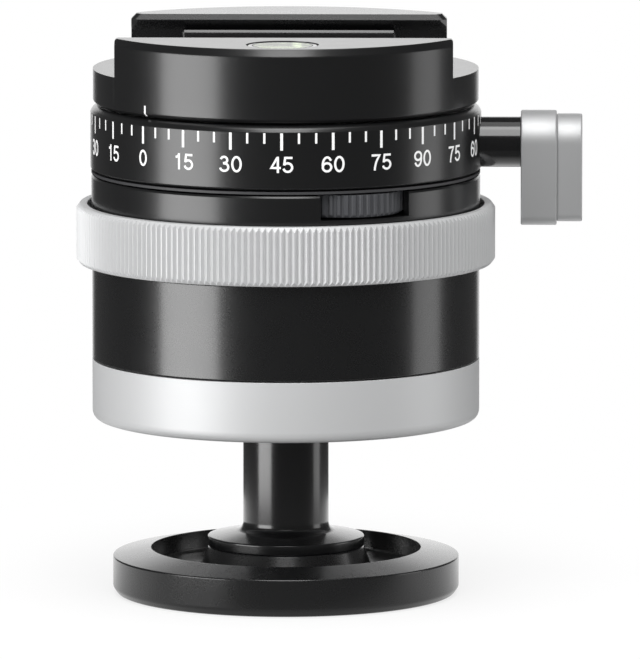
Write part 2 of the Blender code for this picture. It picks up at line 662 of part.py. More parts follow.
def make_neck(parent):
    """The neck plate over the lock ring, with the thumbwheel's pocket and window."""
    profile = [(NECK_BORE_RADIUS, NECK_TOP_Z), (NECK_RADIUS - NECK_CHAMFER, NECK_TOP_Z),
               (NECK_RADIUS, NECK_TOP_Z - NECK_CHAMFER), (NECK_RADIUS, NECK_Z),
               (SLEEVE_BORE_RADIUS, NECK_Z), (SLEEVE_BORE_RADIUS, NECK_PLATE_Z),
               (NECK_BORE_RADIUS, NECK_PLATE_Z)]
    neck = turned("neck", profile, black_anodised, ROUND_SIDES, (0, 0, 0), parent)
    floor = NECK_TOP_Z - WHEEL_POCKET_FLOOR
    top = NECK_TOP_Z + OVERRUN
    reach = WHEEL_RADIUS + GAP
    half = WHEEL_RADIUS * WINDOW_SHARE
    centre = around(WHEEL_PITCH_RADIUS, WHEEL_ANGLE)
    cut(neck, rod("wheel_axle_hole", WHEEL_AXLE_RADIUS + GAP,
                  (*centre[:2], NECK_PLATE_Z - OVERRUN), (*centre[:2], NECK_TOP_Z + GAP), None,
                  FINE_SIDES))
    pocket = turned("wheel_pocket", [(0, floor), (reach, floor), (reach, top), (0, top)], None,
                    SMALL_SIDES, centre)
    cut(neck, pocket)
    window = block("wheel_window", (0, -half, floor), (reach + OVERRUN, half, top))
    window.location = centre
    window.rotation_euler = (0, 0, WHEEL_ANGLE)
    cut(neck, window)
    rod("wheel_axle", WHEEL_AXLE_RADIUS, (*centre[:2], NECK_PLATE_Z),
        (*centre[:2], NECK_TOP_Z), steel, FINE_SIDES, parent)
    for i in range(NECK_SCREW_COUNT):
        neck_screw_hole("neck_screw_hole_", neck, i)
        place = around(NECK_SCREW_PITCH_RADIUS, neck_screw_angle(i), NECK_TOP_Z - GAP)
        cap_screw(f"neck_screw_{i + 1}", place, SCREW_HEAD_RADIUS, SCREW_HEAD_HEIGHT, SCREW_RADIUS,
                  NECK_SCREW_LENGTH, parent)
    for i in range(SCALE_SCREW_COUNT):
        scale_screw_hole("neck_scale_screw_hole_", neck, i)


def make_thumbwheel(parent):
    """The ribbed friction wheel on its upright axle."""
    bm = bmesh.new()
    bore = WHEEL_AXLE_RADIUS + GAP
    root = WHEEL_RADIUS - WHEEL_TOOTH_DEPTH
    rows = [toothed_row(bm, WHEEL_TEETH, WHEEL_RADIUS, root, WHEEL_HEIGHT),
            toothed_row(bm, WHEEL_TEETH, WHEEL_RADIUS, root, WHEEL_CHAMFER),
            ring_row(bm, WHEEL_TEETH, root - WHEEL_CHAMFER, 0),
            ring_row(bm, WHEEL_TEETH // 2, bore, 0),
            ring_row(bm, WHEEL_TEETH // 2, bore, WHEEL_HEIGHT)]
    for first, second in zip(rows, rows[1:] + rows[:1]):
        join_rows(bm, first, second)
    place = around(WHEEL_PITCH_RADIUS, WHEEL_ANGLE, WHEEL_Z)
    add_object("friction_wheel", bm, black_anodised, place, parent)


def make_lock_ring(parent):
    """The knurled ring, the cam ring inside the sleeve, and the keys that join them."""
    inner = SLEEVE_RADIUS + GAP
    root = RING_RADIUS - TOOTH_DEPTH
    columns = 2 * TOOTH_COUNT // TOOTH_COLUMNS
    bm = bmesh.new()
    rows = [ring_row(bm, columns, RING_RADIUS - TOOTH_DEPTH - RING_UPPER_CHAMFER, RING_TOP_Z),
            toothed_row(bm, TOOTH_COUNT, RING_RADIUS, root, RING_TOP_Z - RING_UPPER_CHAMFER),
            toothed_row(bm, TOOTH_COUNT, RING_RADIUS, root, RING_Z + RING_LOWER_CHAMFER_HEIGHT),
            ring_row(bm, columns, RING_RADIUS - RING_LOWER_CHAMFER_WIDTH, RING_Z),
            ring_row(bm, columns, inner, RING_Z),
            ring_row(bm, columns, inner, SLEEVE_TOP_Z),
            ring_row(bm, columns, RING_THROAT_RADIUS, SLEEVE_TOP_Z),
            ring_row(bm, columns, RING_THROAT_RADIUS, RING_TOP_Z)]
    for first, second in zip(rows, rows[1:] + rows[:1]):
        join_rows(bm, first, second)
    lock_ring = add_object("lock_ring", bm, silver_anodised, (0, 0, 0), None)
    lock_ring.location = -world_place(parent)
    lock_ring.parent = parent

    skirt = CAM_OUTER_RADIUS - CAM_WALL
    profile = [(CAM_INNER_RADIUS, CAM_TOP_Z), (CAM_OUTER_RADIUS, CAM_TOP_Z),
               (CAM_OUTER_RADIUS, CAM_FOOT_Z), (skirt, CAM_FOOT_Z), (skirt, CAM_Z),
               (CAM_INNER_RADIUS, CAM_Z)]
    cam = turned("cam_ring", profile, brass, MEDIUM_SIDES, (0, 0, 0), parent)
    for i in range(KEY_COUNT):
        start = around(skirt, key_angle(i), KEY_Z)
        end = around(skirt + KEY_LENGTH, key_angle(i), KEY_Z)
        rod(f"ring_key_{i + 1}", KEY_RADIUS, start, end, steel, FINE_SIDES, parent)
        hole_start = around(skirt - OVERRUN, key_angle(i), KEY_Z)
        hole_end = around(skirt + KEY_LENGTH + GAP, key_angle(i), KEY_Z)
        hole = rod(f"ring_key_hole_{i + 1}", KEY_RADIUS + GAP, hole_start, hole_end, None, FINE_SIDES)
        cut(cam, hole)
        cut(lock_ring, hole)


def make_scale_ring(parent):
    """The slip washer and the scale ring, bored for the spindle and for the pan lock."""
    profile = [(NECK_BORE_RADIUS, WASHER_Z), (NECK_RADIUS, WASHER_Z),
               (NECK_RADIUS, WASHER_Z + WASHER_HEIGHT), (NECK_BORE_RADIUS, WASHER_Z + WASHER_HEIGHT)]
    washer = turned("slip_washer", profile, black_plastic, ROUND_SIDES, (0, 0, 0), parent)

    bore = SPINDLE_RADIUS + GAP
    shoulder = arc((SCALE_RADIUS - SCALE_ROUNDING, SCALE_TOP_Z - SCALE_ROUNDING), SCALE_ROUNDING,
                   pi / 2, 0)
    profile = [(bore, SCALE_TOP_Z)] + shoulder
    profile += [(SCALE_RADIUS, SCALE_Z + SCALE_LOWER_CHAMFER),
                (SCALE_RADIUS - SCALE_LOWER_CHAMFER, SCALE_Z), (bore, SCALE_Z)]
    ring = turned("scale_ring", profile, black_anodised, ROUND_SIDES, (0, 0, 0), parent)
    lock_bore = rod("pan_lock_bore", LOCK_SPIGOT_RADIUS + GAP, (SPINDLE_RADIUS / 2, 0, LOCK_AXIS_Z),
                    (SCALE_RADIUS + OVERRUN, 0, LOCK_AXIS_Z))
    cut(ring, lock_bore)
    for i in range(SCALE_SCREW_COUNT):
        scale_screw_hole("scale_screw_hole_", ring, i)
        scale_screw_hole("washer_screw_hole_", washer, i)
        place = around(SCALE_SCREW_PITCH_RADIUS, scale_screw_angle(i), SCALE_TOP_Z - GAP)
        cap_screw(f"scale_screw_{i + 1}", place, SCREW_HEAD_RADIUS, SCREW_HEAD_HEIGHT, SCREW_RADIUS,
                  SCALE_SCREW_LENGTH, parent)
    shoe_start = (SPINDLE_RADIUS + GAP, 0, LOCK_AXIS_Z)
    shoe_end = (SPINDLE_RADIUS + GAP + LOCK_SHOE_LENGTH, 0, LOCK_AXIS_Z)
    rod("pan_shoe", LOCK_SPIGOT_RADIUS, shoe_start, shoe_end, brass, SMALL_SIDES, parent)


def make_pan_lock(parent):
    """The pan lock's shaft, and the stepped lever that hangs on its end."""
    spigot = SPINDLE_RADIUS + GAP + LOCK_SHOE_LENGTH + GAP
    shoulder = SCALE_RADIUS + GAP
    profile = [(0, spigot), (LOCK_SPIGOT_RADIUS, spigot), (LOCK_SPIGOT_RADIUS, shoulder),
               (LOCK_SHAFT_RADIUS, shoulder), (LOCK_SHAFT_RADIUS, LOCK_SHAFT_END),
               (0, LOCK_SHAFT_END)]
    shaft = turned("pan_lock_shaft", profile, black_anodised, MEDIUM_SIDES)
    shaft.rotation_euler = (0, pi / 2, 0)
    shaft.location = Vector((0, 0, LOCK_AXIS_Z)) - world_place(parent)
    shaft.parent = parent
    lever_step("pan_lock_lever", 0, LEVER_X, LEVER_THICKNESS, parent)
    lever_step("pan_lock_cap", CAP_INSET, LEVER_X + LEVER_THICKNESS + GAP, CAP_THICKNESS, parent)


def lever_step(name, inset, start, thickness, parent):
    """One step of the lever: round over the shaft, straight down, with small lower corners."""
    half = LEVER_WIDTH / 2 - inset
    corner = LEVER_CORNER - inset / 2
    low = inset - LEVER_HANG
    outline = arc((0, 0), half, 0, pi, 3 * ARC_STEPS)
    outline += arc((corner - half, low + corner), corner, pi, 3 * pi / 2)
    outline += arc((half - corner, low + corner), corner, -pi / 2, 0)
    step = prism(name, outline, 0, thickness, silver_anodised, (0, 0, 0), None, LEVER_CHAMFER)
    # Turned so that the outline's X runs along +Y, its Y up, and its thickness along +X.
    step.rotation_euler = (pi / 2, 0, pi / 2)
    step.location = Vector((start, 0, LOCK_AXIS_Z)) - world_place(parent)
    step.parent = parent


def make_spindle(parent):
    """The panning spindle that hangs from the clamp disc, and the nut that keeps it."""
    tail_low = NECK_TOP_Z - SPINDLE_NUT_HEIGHT
    thread = DECK_SCREW_RADIUS + GAP
    thread_low = DECK_Z - DECK_SCREW_SINK - DECK_SCREW_LENGTH - GAP
    profile = [(0, thread_low), (thread, thread_low), (thread, SCALE_TOP_Z),
               (SPINDLE_RADIUS, SCALE_TOP_Z), (SPINDLE_RADIUS, SCALE_Z),
               (SPINDLE_TAIL_RADIUS, SCALE_Z), (SPINDLE_TAIL_RADIUS, tail_low), (0, tail_low)]
    turned("pan_spindle", profile, steel, MEDIUM_SIDES, (0, 0, 0), parent)
    nut_low = SCALE_Z - GAP - SPINDLE_NUT_HEIGHT
    inner = SPINDLE_TAIL_RADIUS + GAP
    nut = [(inner, nut_low), (SPINDLE_NUT_RADIUS, nut_low),
           (SPINDLE_NUT_RADIUS, nut_low + SPINDLE_NUT_HEIGHT), (inner, nut_low + SPINDLE_NUT_HEIGHT)]
    turned("spindle_nut", nut, brass, SMALL_SIDES, (0, 0, 0), parent)


def make_clamp_disc(parent):
    """The clamp disc with its fixed jaw, the central screw and the bubble level."""
    profile = [(0, JAW_TOP_Z), (DISC_RADIUS - JAW_CHAMFER_WIDTH, JAW_TOP_Z),
               (DISC_RADIUS, JAW_TOP_Z - JAW_CHAMFER_HEIGHT), (DISC_RADIUS, DISC_Z + DISC_LOWER_CHAMFER),
               (DISC_RADIUS - DISC_LOWER_CHAMFER, DISC_Z), (0, DISC_Z)]
    disc = turned("clamp_disc", profile, black_anodised, ROUND_SIDES, (0, 0, 0), parent)
    far = DISC_RADIUS + OVERRUN
    top = JAW_TOP_Z + OVERRUN
    cut(disc, block("deck_cut", (-far, FIXED_LIP_Y, DECK_Z), (far, far, top)))
    cut(disc, block("jaw_end_left", (-far, -far, DECK_Z), (-JAW_HALF_LENGTH, 0, top)))
    cut(disc, block("jaw_end_right", (JAW_HALF_LENGTH, -far, DECK_Z), (far, 0, top)))
    cut(disc, undercut("fixed_undercut", FIXED_LIP_Y, -1, DECK_Z))
    relief = DECK_Z - RELIEF_DEPTH
    cut(disc, block("fixed_relief", (-JAW_HALF_LENGTH, FIXED_LIP_Y - UNDERCUT_DEPTH, relief),
                    (JAW_HALF_LENGTH, FIXED_LIP_Y + RELIEF_MARGIN, DECK_Z + GAP)))
    cut(disc, block("rear_relief", (-far, REAR_LIP_Y - RELIEF_MARGIN, relief), (far, far, top)))

    level_y = -(DISC_RADIUS - JAW_CHAMFER_WIDTH - LEVEL_MARGIN - LEVEL_RADIUS)
    level_low = JAW_TOP_Z - LEVEL_DEPTH
    pocket = rod("level_pocket", LEVEL_RADIUS + GAP, (0, level_y, level_low - GAP), (0, level_y, top),
                 None, MEDIUM_SIDES)
    cut(disc, pocket)
    rim = JAW_TOP_Z - LEVEL_SINK
    bowl = LEVEL_RADIUS - LEVEL_WALL
    floor = level_low + LEVEL_WALL
    case = [(0, floor), (bowl, floor), (bowl, rim), (LEVEL_RADIUS, rim), (LEVEL_RADIUS, level_low),
            (0, level_low)]
    turned("level_case", case, black_anodised, MEDIUM_SIDES, (0, level_y, 0), parent)
    rod("level_vial", bowl - GAP, (0, level_y, floor + GAP), (0, level_y, rim), clear_plastic,
        MEDIUM_SIDES, parent)

    screw_place = (0, 0, DECK_Z - DECK_SCREW_SINK)
    screw_hole("deck_screw_hole", disc, screw_place, DECK_SCREW_HEAD_RADIUS, DECK_SCREW_HEAD_HEIGHT,
               DECK_SCREW_RADIUS, DECK_SCREW_LENGTH)
    cap_screw("deck_screw", screw_place, DECK_SCREW_HEAD_RADIUS, DECK_SCREW_HEAD_HEIGHT,
              DECK_SCREW_RADIUS, DECK_SCREW_LENGTH, parent)
    for side in (-1, 1):
        x = side * GUIDE_ROD_X
        cut(disc, rod(f"disc_rod_hole{side}", GUIDE_ROD_RADIUS + GAP, (x, rod_start() - GAP, ROD_Z),
                      (x, DISC_RADIUS + OVERRUN, ROD_Z), None, FINE_SIDES))


def undercut(name, lip_y, away, floor):
    """The dovetail groove under a jaw's lip; away is -1 or 1, the way the groove runs in."""
    lip_low = JAW_TOP_Z - LIP_THICKNESS
    slope_low = lip_low - UNDERCUT_DEPTH
    mouth = lip_y - away * OVERRUN
    back = lip_y + away * UNDERCUT_DEPTH
    outline = [(mouth, lip_low), (lip_y, lip_low), (back, slope_low), (back, floor), (mouth, floor)]
    reach = REAR_JAW_RADIUS + OVERRUN
    groove = prism(name, outline, -reach, reach)
    # Drawn in Y and Z, the outline runs along X.
    groove.rotation_euler = (pi / 2, 0, pi / 2)
    return groove


def rod_start():
    """Where the guide rods end inside the disc."""
    return rod_end() - GUIDE_ROD_LENGTH


def rod_end():
    """Where the guide rods end inside the rear jaw."""
    return sqrt(REAR_JAW_RADIUS ** 2 - GUIDE_ROD_X ** 2) - GUIDE_ROD_WALL


def clamp_pivot_place(height):
    """The clamp lever's pivot, inside the rear jaw's left end."""
    radius = REAR_JAW_RADIUS - CLAMP_PIN_RADIUS - CLAMP_PIN_WALL
    return around(radius, CLAMP_PIVOT_ANGLE, height)


def make_rear_jaw(parent):
    """The rear jaw, a slice of a larger disc whose skirt hangs behind the clamp disc."""
    low = DISC_Z + DISC_LOWER_CHAMFER
    half = REAR_JAW_HALF_LENGTH
    end_y = sqrt(REAR_JAW_RADIUS ** 2 - half ** 2)
    end_angle = atan2(end_y, half)
    outline = [(REAR_JAW_CORNER - half, REAR_LIP_Y), (half - REAR_JAW_CORNER, REAR_LIP_Y),
               (half, REAR_LIP_Y + REAR_JAW_CORNER)]
    outline += arc((0, 0), REAR_JAW_RADIUS, end_angle, pi - end_angle, 5 * ARC_STEPS)
    outline += [(-half, REAR_LIP_Y + REAR_JAW_CORNER)]
    jaw = prism("rear_jaw", outline, low, JAW_TOP_Z, black_anodised, (0, 0, 0), None,
                REAR_JAW_CHAMFER)
    jaw.location = -world_place(parent)
    jaw.parent = parent
    under = DISC_RADIUS + GAP
    over_deck = DECK_Z + GAP
    cut(jaw, turned("rear_jaw_seat", [(0, low - OVERRUN), (under, low - OVERRUN), (under, over_deck),
                                      (0, over_deck)]))
    cut(jaw, undercut("rear_undercut", REAR_LIP_Y, 1, over_deck - OVERRUN))
    for side in (-1, 1):
        x = side * GUIDE_ROD_X
        number = 1 if side < 0 else 2
        cut(jaw, rod(f"jaw_rod_hole_{number}", GUIDE_ROD_RADIUS + GAP, (x, 0, ROD_Z),
                     (x, rod_end() + GAP, ROD_Z), None, FINE_SIDES))
        rod(f"guide_rod_{number}", GUIDE_ROD_RADIUS, (x, rod_start(), ROD_Z), (x, rod_end(), ROD_Z),
            steel, FINE_SIDES, parent)
    cut_lever_fork(jaw, low)
    make_jaw_pad(parent)
    pin_low = low + LIP_THICKNESS
    pin_high = JAW_TOP_Z - LIP_THICKNESS
    cut(jaw, rod("clamp_pin_hole", CLAMP_PIN_RADIUS + GAP, clamp_pivot_place(pin_low - GAP),
                 clamp_pivot_place(pin_high + GAP), None, FINE_SIDES))
    rod("clamp_pin", CLAMP_PIN_RADIUS, clamp_pivot_place(pin_low), clamp_pivot_place(pin_high), steel,
        FINE_SIDES, parent)


def cut_lever_fork(jaw, low):
    """The slot at the jaw's left end that the clamp lever's boss turns in."""
    middle = (low + JAW_TOP_Z) / 2
    half = CLAMP_LEVER_HEIGHT / 2 + GAP
    pivot_x, pivot_y, _ = clamp_pivot_place(middle)
    inner_y = pivot_y - CLAMP_BOSS_RADIUS - GAP
    cut(jaw, block("lever_fork", (-REAR_JAW_HALF_LENGTH - OVERRUN, inner_y, middle - half),
                   (pivot_x + CLAMP_FORK_LENGTH, REAR_JAW_RADIUS + OVERRUN, middle + half)))


def make_jaw_pad(parent):
    """The bearing pad in the middle of the rear jaw's groove."""
    back = REAR_LIP_Y + UNDERCUT_DEPTH - GAP
    front = back - PAD_PROUD
    low = DECK_Z + GAP
    bm = bmesh.new()
    lower = [(-PAD_HALF_LENGTH, front), (PAD_HALF_LENGTH, front), (PAD_HALF_LENGTH, back),
             (-PAD_HALF_LENGTH, back)]
    inset = PAD_HALF_LENGTH - PAD_CHAMFER
    upper = [(-inset, front + PAD_CHAMFER), (inset, front + PAD_CHAMFER), (inset, back),
             (-inset, back)]
    levels = [(lower, low), (lower, low + PAD_HEIGHT - PAD_CHAMFER), (upper, low + PAD_HEIGHT)]
    rows = [[bm.verts.new((x, y, z)) for x, y in outline] for outline, z in levels]
    bm.faces.new(rows[0])
    bm.faces.new(rows[-1])
    for first, second in zip(rows, rows[1:]):
        for i in range(len(first)):
            j = (i + 1) % len(first)
            bm.faces.new((first[i], first[j], second[j], second[i]))
    pad = add_object("jaw_pad", bm, black_anodised)
    pad.location = -world_place(parent)
    pad.parent = parent


def make_clamp_lever(parent):
    """The clamp lever: a boss in the jaw's fork and an arm that hugs the jaw's back."""
    low = DISC_Z + DISC_LOWER_CHAMFER
    middle = (low + JAW_TOP_Z) / 2
    half = CLAMP_LEVER_HEIGHT / 2
    inner = REAR_JAW_RADIUS + GAP
    outer = inner + CLAMP_LEVER_WIDTH
    pivot_x, pivot_y, _ = clamp_pivot_place(middle)
    middle_radius = (inner + outer) / 2
    tip = around(middle_radius, CLAMP_TIP_ANGLE)[:2]
    root_reach = CLAMP_BOSS_RADIUS / REAR_JAW_RADIUS
    outline = arc((0, 0), outer, CLAMP_TIP_ANGLE, CLAMP_PIVOT_ANGLE - root_reach, 3 * ARC_STEPS)
    outline += arc((pivot_x, pivot_y), CLAMP_BOSS_RADIUS, CLAMP_PIVOT_ANGLE + pi / 4,
                   CLAMP_PIVOT_ANGLE + 5 * pi / 4, 2 * ARC_STEPS)
    outline += arc((0, 0), inner, CLAMP_PIVOT_ANGLE - 2 * root_reach, CLAMP_TIP_ANGLE, 3 * ARC_STEPS)
    outline += arc(tip, CLAMP_LEVER_WIDTH / 2, CLAMP_TIP_ANGLE - pi, CLAMP_TIP_ANGLE, ARC_STEPS)[1:-1]
    local = [(x - pivot_x, y - pivot_y) for x, y in outline]
    lever = prism("clamp_lever", local, middle - half, middle + half, silver_anodised,
                  (pivot_x, pivot_y, 0), parent)
    cut(lever, rod("lever_pin_hole", CLAMP_PIN_RADIUS + GAP, clamp_pivot_place(low),
                   clamp_pivot_place(JAW_TOP_Z), None, FINE_SIDES))


def main():
    clear_scene()
    pin_hole = make_foot()
    make_stem(pin_hole)
    ball_pivot = pivot("ball_swivel_pivot", (0, 0, BALL_Z))
    make_ball(ball_pivot)
    housing = pivot("head_tilt_pivot", (0, 0, BALL_Z), ball_pivot)
    make_cup(housing)
    make_collar_and_barrel(housing)
    make_neck(housing)
    make_scale_ring(housing)
    ring_pivot = pivot("lock_ring_pivot", (0, 0, RING_Z), housing)
    make_lock_ring(ring_pivot)
    make_thumbwheel(housing)
    pan_lock = pivot("pan_lock_pivot", (SCALE_RADIUS, 0, LOCK_AXIS_Z), housing)
    make_pan_lock(pan_lock)
    pan = pivot("pan_pivot", (0, 0, DISC_Z), housing)
    make_spindle(pan)
    make_clamp_disc(pan)
    jaw = pivot("rear_jaw_slide", (0, REAR_LIP_Y, DECK_Z), pan)
    make_rear_jaw(jaw)
    make_clamp_lever(jaw)


main()
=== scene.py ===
from math import atan2, cos, pi, radians, sin, sqrt

import bmesh
import bpy
import numpy as np
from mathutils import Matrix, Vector


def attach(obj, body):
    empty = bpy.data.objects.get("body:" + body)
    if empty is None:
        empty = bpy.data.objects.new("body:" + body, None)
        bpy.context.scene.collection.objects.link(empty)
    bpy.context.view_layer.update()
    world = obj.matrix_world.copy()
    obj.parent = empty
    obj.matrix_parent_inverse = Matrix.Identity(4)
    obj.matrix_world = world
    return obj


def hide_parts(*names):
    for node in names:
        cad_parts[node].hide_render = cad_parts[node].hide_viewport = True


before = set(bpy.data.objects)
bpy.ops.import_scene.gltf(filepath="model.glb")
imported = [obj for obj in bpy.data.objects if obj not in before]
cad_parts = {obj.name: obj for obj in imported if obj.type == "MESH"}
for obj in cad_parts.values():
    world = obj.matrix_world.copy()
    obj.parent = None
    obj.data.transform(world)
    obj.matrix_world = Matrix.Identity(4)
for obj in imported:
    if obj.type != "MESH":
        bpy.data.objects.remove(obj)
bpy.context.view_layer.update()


# The studio. A white backdrop and a white floor, soft lamps at the front left, at the right, high
# in front and overhead, and a dark room behind the camera. The black cylinders mirror them: that
# gives their long highlights, dark middles and bright edges.
class Wire:
    """A node's socket. An expression on wires and numbers adds the Math nodes that work it out."""

    def __init__(self, tree, socket):
        self.tree, self.socket = tree, socket

    @classmethod
    def node(cls, tree, kind, settings=None, inputs=None, output=0):
        """Add a node of a kind: its settings first, then the values or wires of its sockets."""
        made = tree.nodes.new("ShaderNode" + kind)
        for name, value in (settings or {}).items():
            if name == "stops":
                ramp = made.color_ramp
                while len(ramp.elements) < len(value):
                    ramp.elements.new(1)
                for element, (place, grey) in zip(ramp.elements, value):
                    element.position, element.color = place, (grey, grey, grey, 1)
            else:
                setattr(made, name, value)
        for key, value in (inputs or {}).items():
            if isinstance(value, Wire):
                tree.links.new(value.socket, made.inputs[key])
            else:
                made.inputs[key].default_value = value
        return cls(tree, made.outputs[output])

    def beside(self, output):
        """Another output of the node that this wire comes from."""
        return Wire(self.tree, self.socket.node.outputs[output])

    def math(self, operation, first, second=0.0):
        return Wire.node(self.tree, "Math", {"operation": operation}, {0: first, 1: second})

    def __add__(self, other):
        return self.math("ADD", self, other)

    def __radd__(self, other):
        return self.math("ADD", other, self)

    def __sub__(self, other):
        return self.math("SUBTRACT", self, other)

    def __rsub__(self, other):
        return self.math("SUBTRACT", other, self)

    def __mul__(self, other):
        return self.math("MULTIPLY", self, other)

    def __rmul__(self, other):
        return self.math("MULTIPLY", other, self)

    def into(self, node, key):
        """Plug this wire into a socket of another node."""
        self.tree.links.new(self.socket, node.inputs[key])


scene = bpy.context.scene
scene.view_settings.view_transform = "Standard"

CAMERA_AZIMUTH = radians(1.3)
CAMERA_YAW = radians(1.1218)
CAMERA_PITCH = radians(7.6216)
CAMERA_DISTANCE = 1.9
CAMERA_HEIGHT = 0.3
SENSOR_WIDTH, LENS = 36, 604.78
camera_data = bpy.data.cameras.new("camera")
camera_data.sensor_width, camera_data.lens = SENSOR_WIDTH, LENS
camera = bpy.data.objects.new("camera", camera_data)
scene.collection.objects.link(camera)
camera.location = (CAMERA_DISTANCE * sin(CAMERA_AZIMUTH), -CAMERA_DISTANCE * cos(CAMERA_AZIMUTH),
                   CAMERA_HEIGHT)
looking = Vector((-sin(CAMERA_YAW) * cos(CAMERA_PITCH), cos(CAMERA_YAW) * cos(CAMERA_PITCH),
                  -sin(CAMERA_PITCH)))
camera.rotation_euler = looking.to_track_quat("-Z", "Y").to_euler()
scene.camera = camera

ROOM_GREY = 0.065         # what the metal mirrors of the dark room
AMBIENT = 0.68            # the room's light on rough surfaces, all round
FRONTAL = 0.33            # how much stronger it is from the front and weaker from behind
OVERHEAD = 0.40           # how much stronger it is from above and weaker from below
SWEEP_EDGE = [(0.957, ROOM_GREY), (0.982, 1.0)]   # the backdrop's soft edge, from the front round
EDGE_LEAN, EDGE_TOP = 0.075, 0.13                 # how far it comes forward as it goes up, to where
WHITE = (1, 1, 1, 1)


def kinds_of_ray(tree):
    """Three masks: 1 for a ray from the camera, one off a shiny surface, and one through glass."""
    seen = Wire.node(tree, "LightPath", output="Is Camera Ray")
    return seen, seen.beside("Is Glossy Ray"), seen.beside("Is Transmission Ray")


world = bpy.data.worlds.new("studio")
scene.world = world
world.use_nodes = True
tree = world.node_tree
background = tree.nodes["Background"]
way = Wire.node(tree, "TexCoord", output="Generated")
behind = Wire.node(tree, "SeparateXYZ", inputs={0: way}, output="Y")
above = behind.beside("Z")
seen, mirrored, through = kinds_of_ray(tree)
round_to_back = behind * 0.5 + above.math("MINIMUM", above, EDGE_TOP) * EDGE_LEAN + 0.5
sweep = Wire.node(tree, "ValToRGB", {"stops": SWEEP_EDGE}, {0: round_to_back})
room = AMBIENT - behind * FRONTAL + above * OVERHEAD
strength = seen + through + mirrored * sweep + (1 - seen - through - mirrored) * room
strength.into(background, "Strength")
background.inputs["Color"].default_value = WHITE
AIM_HEIGHT = 0.07


def soft_lamp(name, azimuth, distance, width, low, high, radiance):
    """A rectangular soft lamp at an azimuth from the camera's side, positive to the right, with
    the same radiance all over. One that starts below the floor faces the object level, and a
    higher one leans down to it."""
    data = bpy.data.lights.new(name, "AREA")
    data.shape, data.size, data.size_y = "RECTANGLE", width, high - low
    data.energy = radiance * pi * width * (high - low)
    lamp = bpy.data.objects.new(name, data)
    scene.collection.objects.link(lamp)
    lamp.location = (distance * sin(azimuth), -distance * cos(azimuth), (low + high) / 2)
    aim = Vector((0, 0, lamp.location.z if low < 0 else AIM_HEIGHT))
    lamp.rotation_euler = (aim - lamp.location).to_track_quat("-Z", "Y").to_euler()


soft_lamp("key_lamp", radians(-58), distance=1.0, width=0.70, low=-0.40, high=0.30, radiance=3.9)
soft_lamp("side_lamp", radians(93), distance=1.0, width=0.40, low=-0.45, high=0.35, radiance=1.2)
soft_lamp("front_lamp", radians(0), distance=0.75, width=0.6, low=0.62, high=1.75, radiance=3.2)
soft_lamp("top_lamp", radians(0), distance=0.1, width=0.9, low=0.75, high=1.65, radiance=0.8)


# The floor: a white disc just under the foot. The lamps give a part of its white, which the foot's
# shadow takes away. Shiny pieces mirror only the part round the foot, dark in front and white
# behind, and from below nothing of it shows.
FLOOR_REACH = 0.6         # as far as the camera sees it
MIRROR_REACH = 0.115      # as far as the object mirrors it and shadows fall on it
FLOOR_SIDES = 128
FLOOR_DROP = 0.0001
SHADE = 0.26              # the share of its white that a full shadow takes away
LAMPLIT_GREY = 0.22       # the colour of the paint under the lamps, which gives that share
SHADOW_FADE = [(0.45, 0.0), (0.95, 1.0)]                 # from the middle out to MIRROR_REACH
MIRRORED_WHITE = [(0.32, 0.12), (0.44, 0.5), (0.7, 0.9)]   # from the front of that part to its back
floor_points = [(FLOOR_REACH * cos(i * 2 * pi / FLOOR_SIDES),
                 FLOOR_REACH * sin(i * 2 * pi / FLOOR_SIDES), -FLOOR_DROP) for i in range(FLOOR_SIDES)]
floor_mesh = bpy.data.meshes.new("floor")
floor_mesh.from_pydata(floor_points, [], [tuple(range(FLOOR_SIDES))])
floor = bpy.data.objects.new("floor", floor_mesh)
scene.collection.objects.link(floor)
floor_finish = bpy.data.materials.new("white_floor")
floor_finish.use_nodes = True
tree = floor_finish.node_tree
tree.nodes.clear()
seen, mirrored, through = kinds_of_ray(tree)
spot = Wire.node(tree, "TexCoord", output="Object")
away = Wire.node(tree, "VectorMath", {"operation": "LENGTH"}, {0: spot}, output="Value")
fade = Wire.node(tree, "ValToRGB", {"stops": SHADOW_FADE}, {0: away * (1 / MIRROR_REACH)})
to_back = Wire.node(tree, "SeparateXYZ", inputs={0: spot}, output="Y")
in_mirror = Wire.node(tree, "ValToRGB", {"stops": MIRRORED_WHITE},
                      {0: to_back * (0.5 / MIRROR_REACH) + 0.5})
white = (seen + through) * (1 - SHADE + SHADE * fade) + mirrored * in_mirror
glow = Wire.node(tree, "Emission", inputs={"Color": WHITE, "Strength": white})
share = (1 - mirrored) * (1 - fade) * LAMPLIT_GREY
grey = Wire.node(tree, "CombineColor", inputs={0: share, 1: share, 2: share})
lamplit = Wire.node(tree, "BsdfDiffuse", inputs={"Color": grey})
both = Wire.node(tree, "AddShader", inputs={0: glow, 1: lamplit})
clear_air = Wire.node(tree, "BsdfTransparent", inputs={"Color": WHITE})
below = Wire.node(tree, "NewGeometry", output="Backfacing")
outside = away.math("GREATER_THAN", away, MIRROR_REACH)
hidden = below.math("MAXIMUM", below, outside * (1 - seen - through))
one_sided = Wire.node(tree, "MixShader", inputs={0: hidden, 1: both, 2: clear_air})
surface = tree.nodes.new("ShaderNodeOutputMaterial")
one_sided.into(surface, "Surface")
floor_mesh.materials.append(floor_finish)


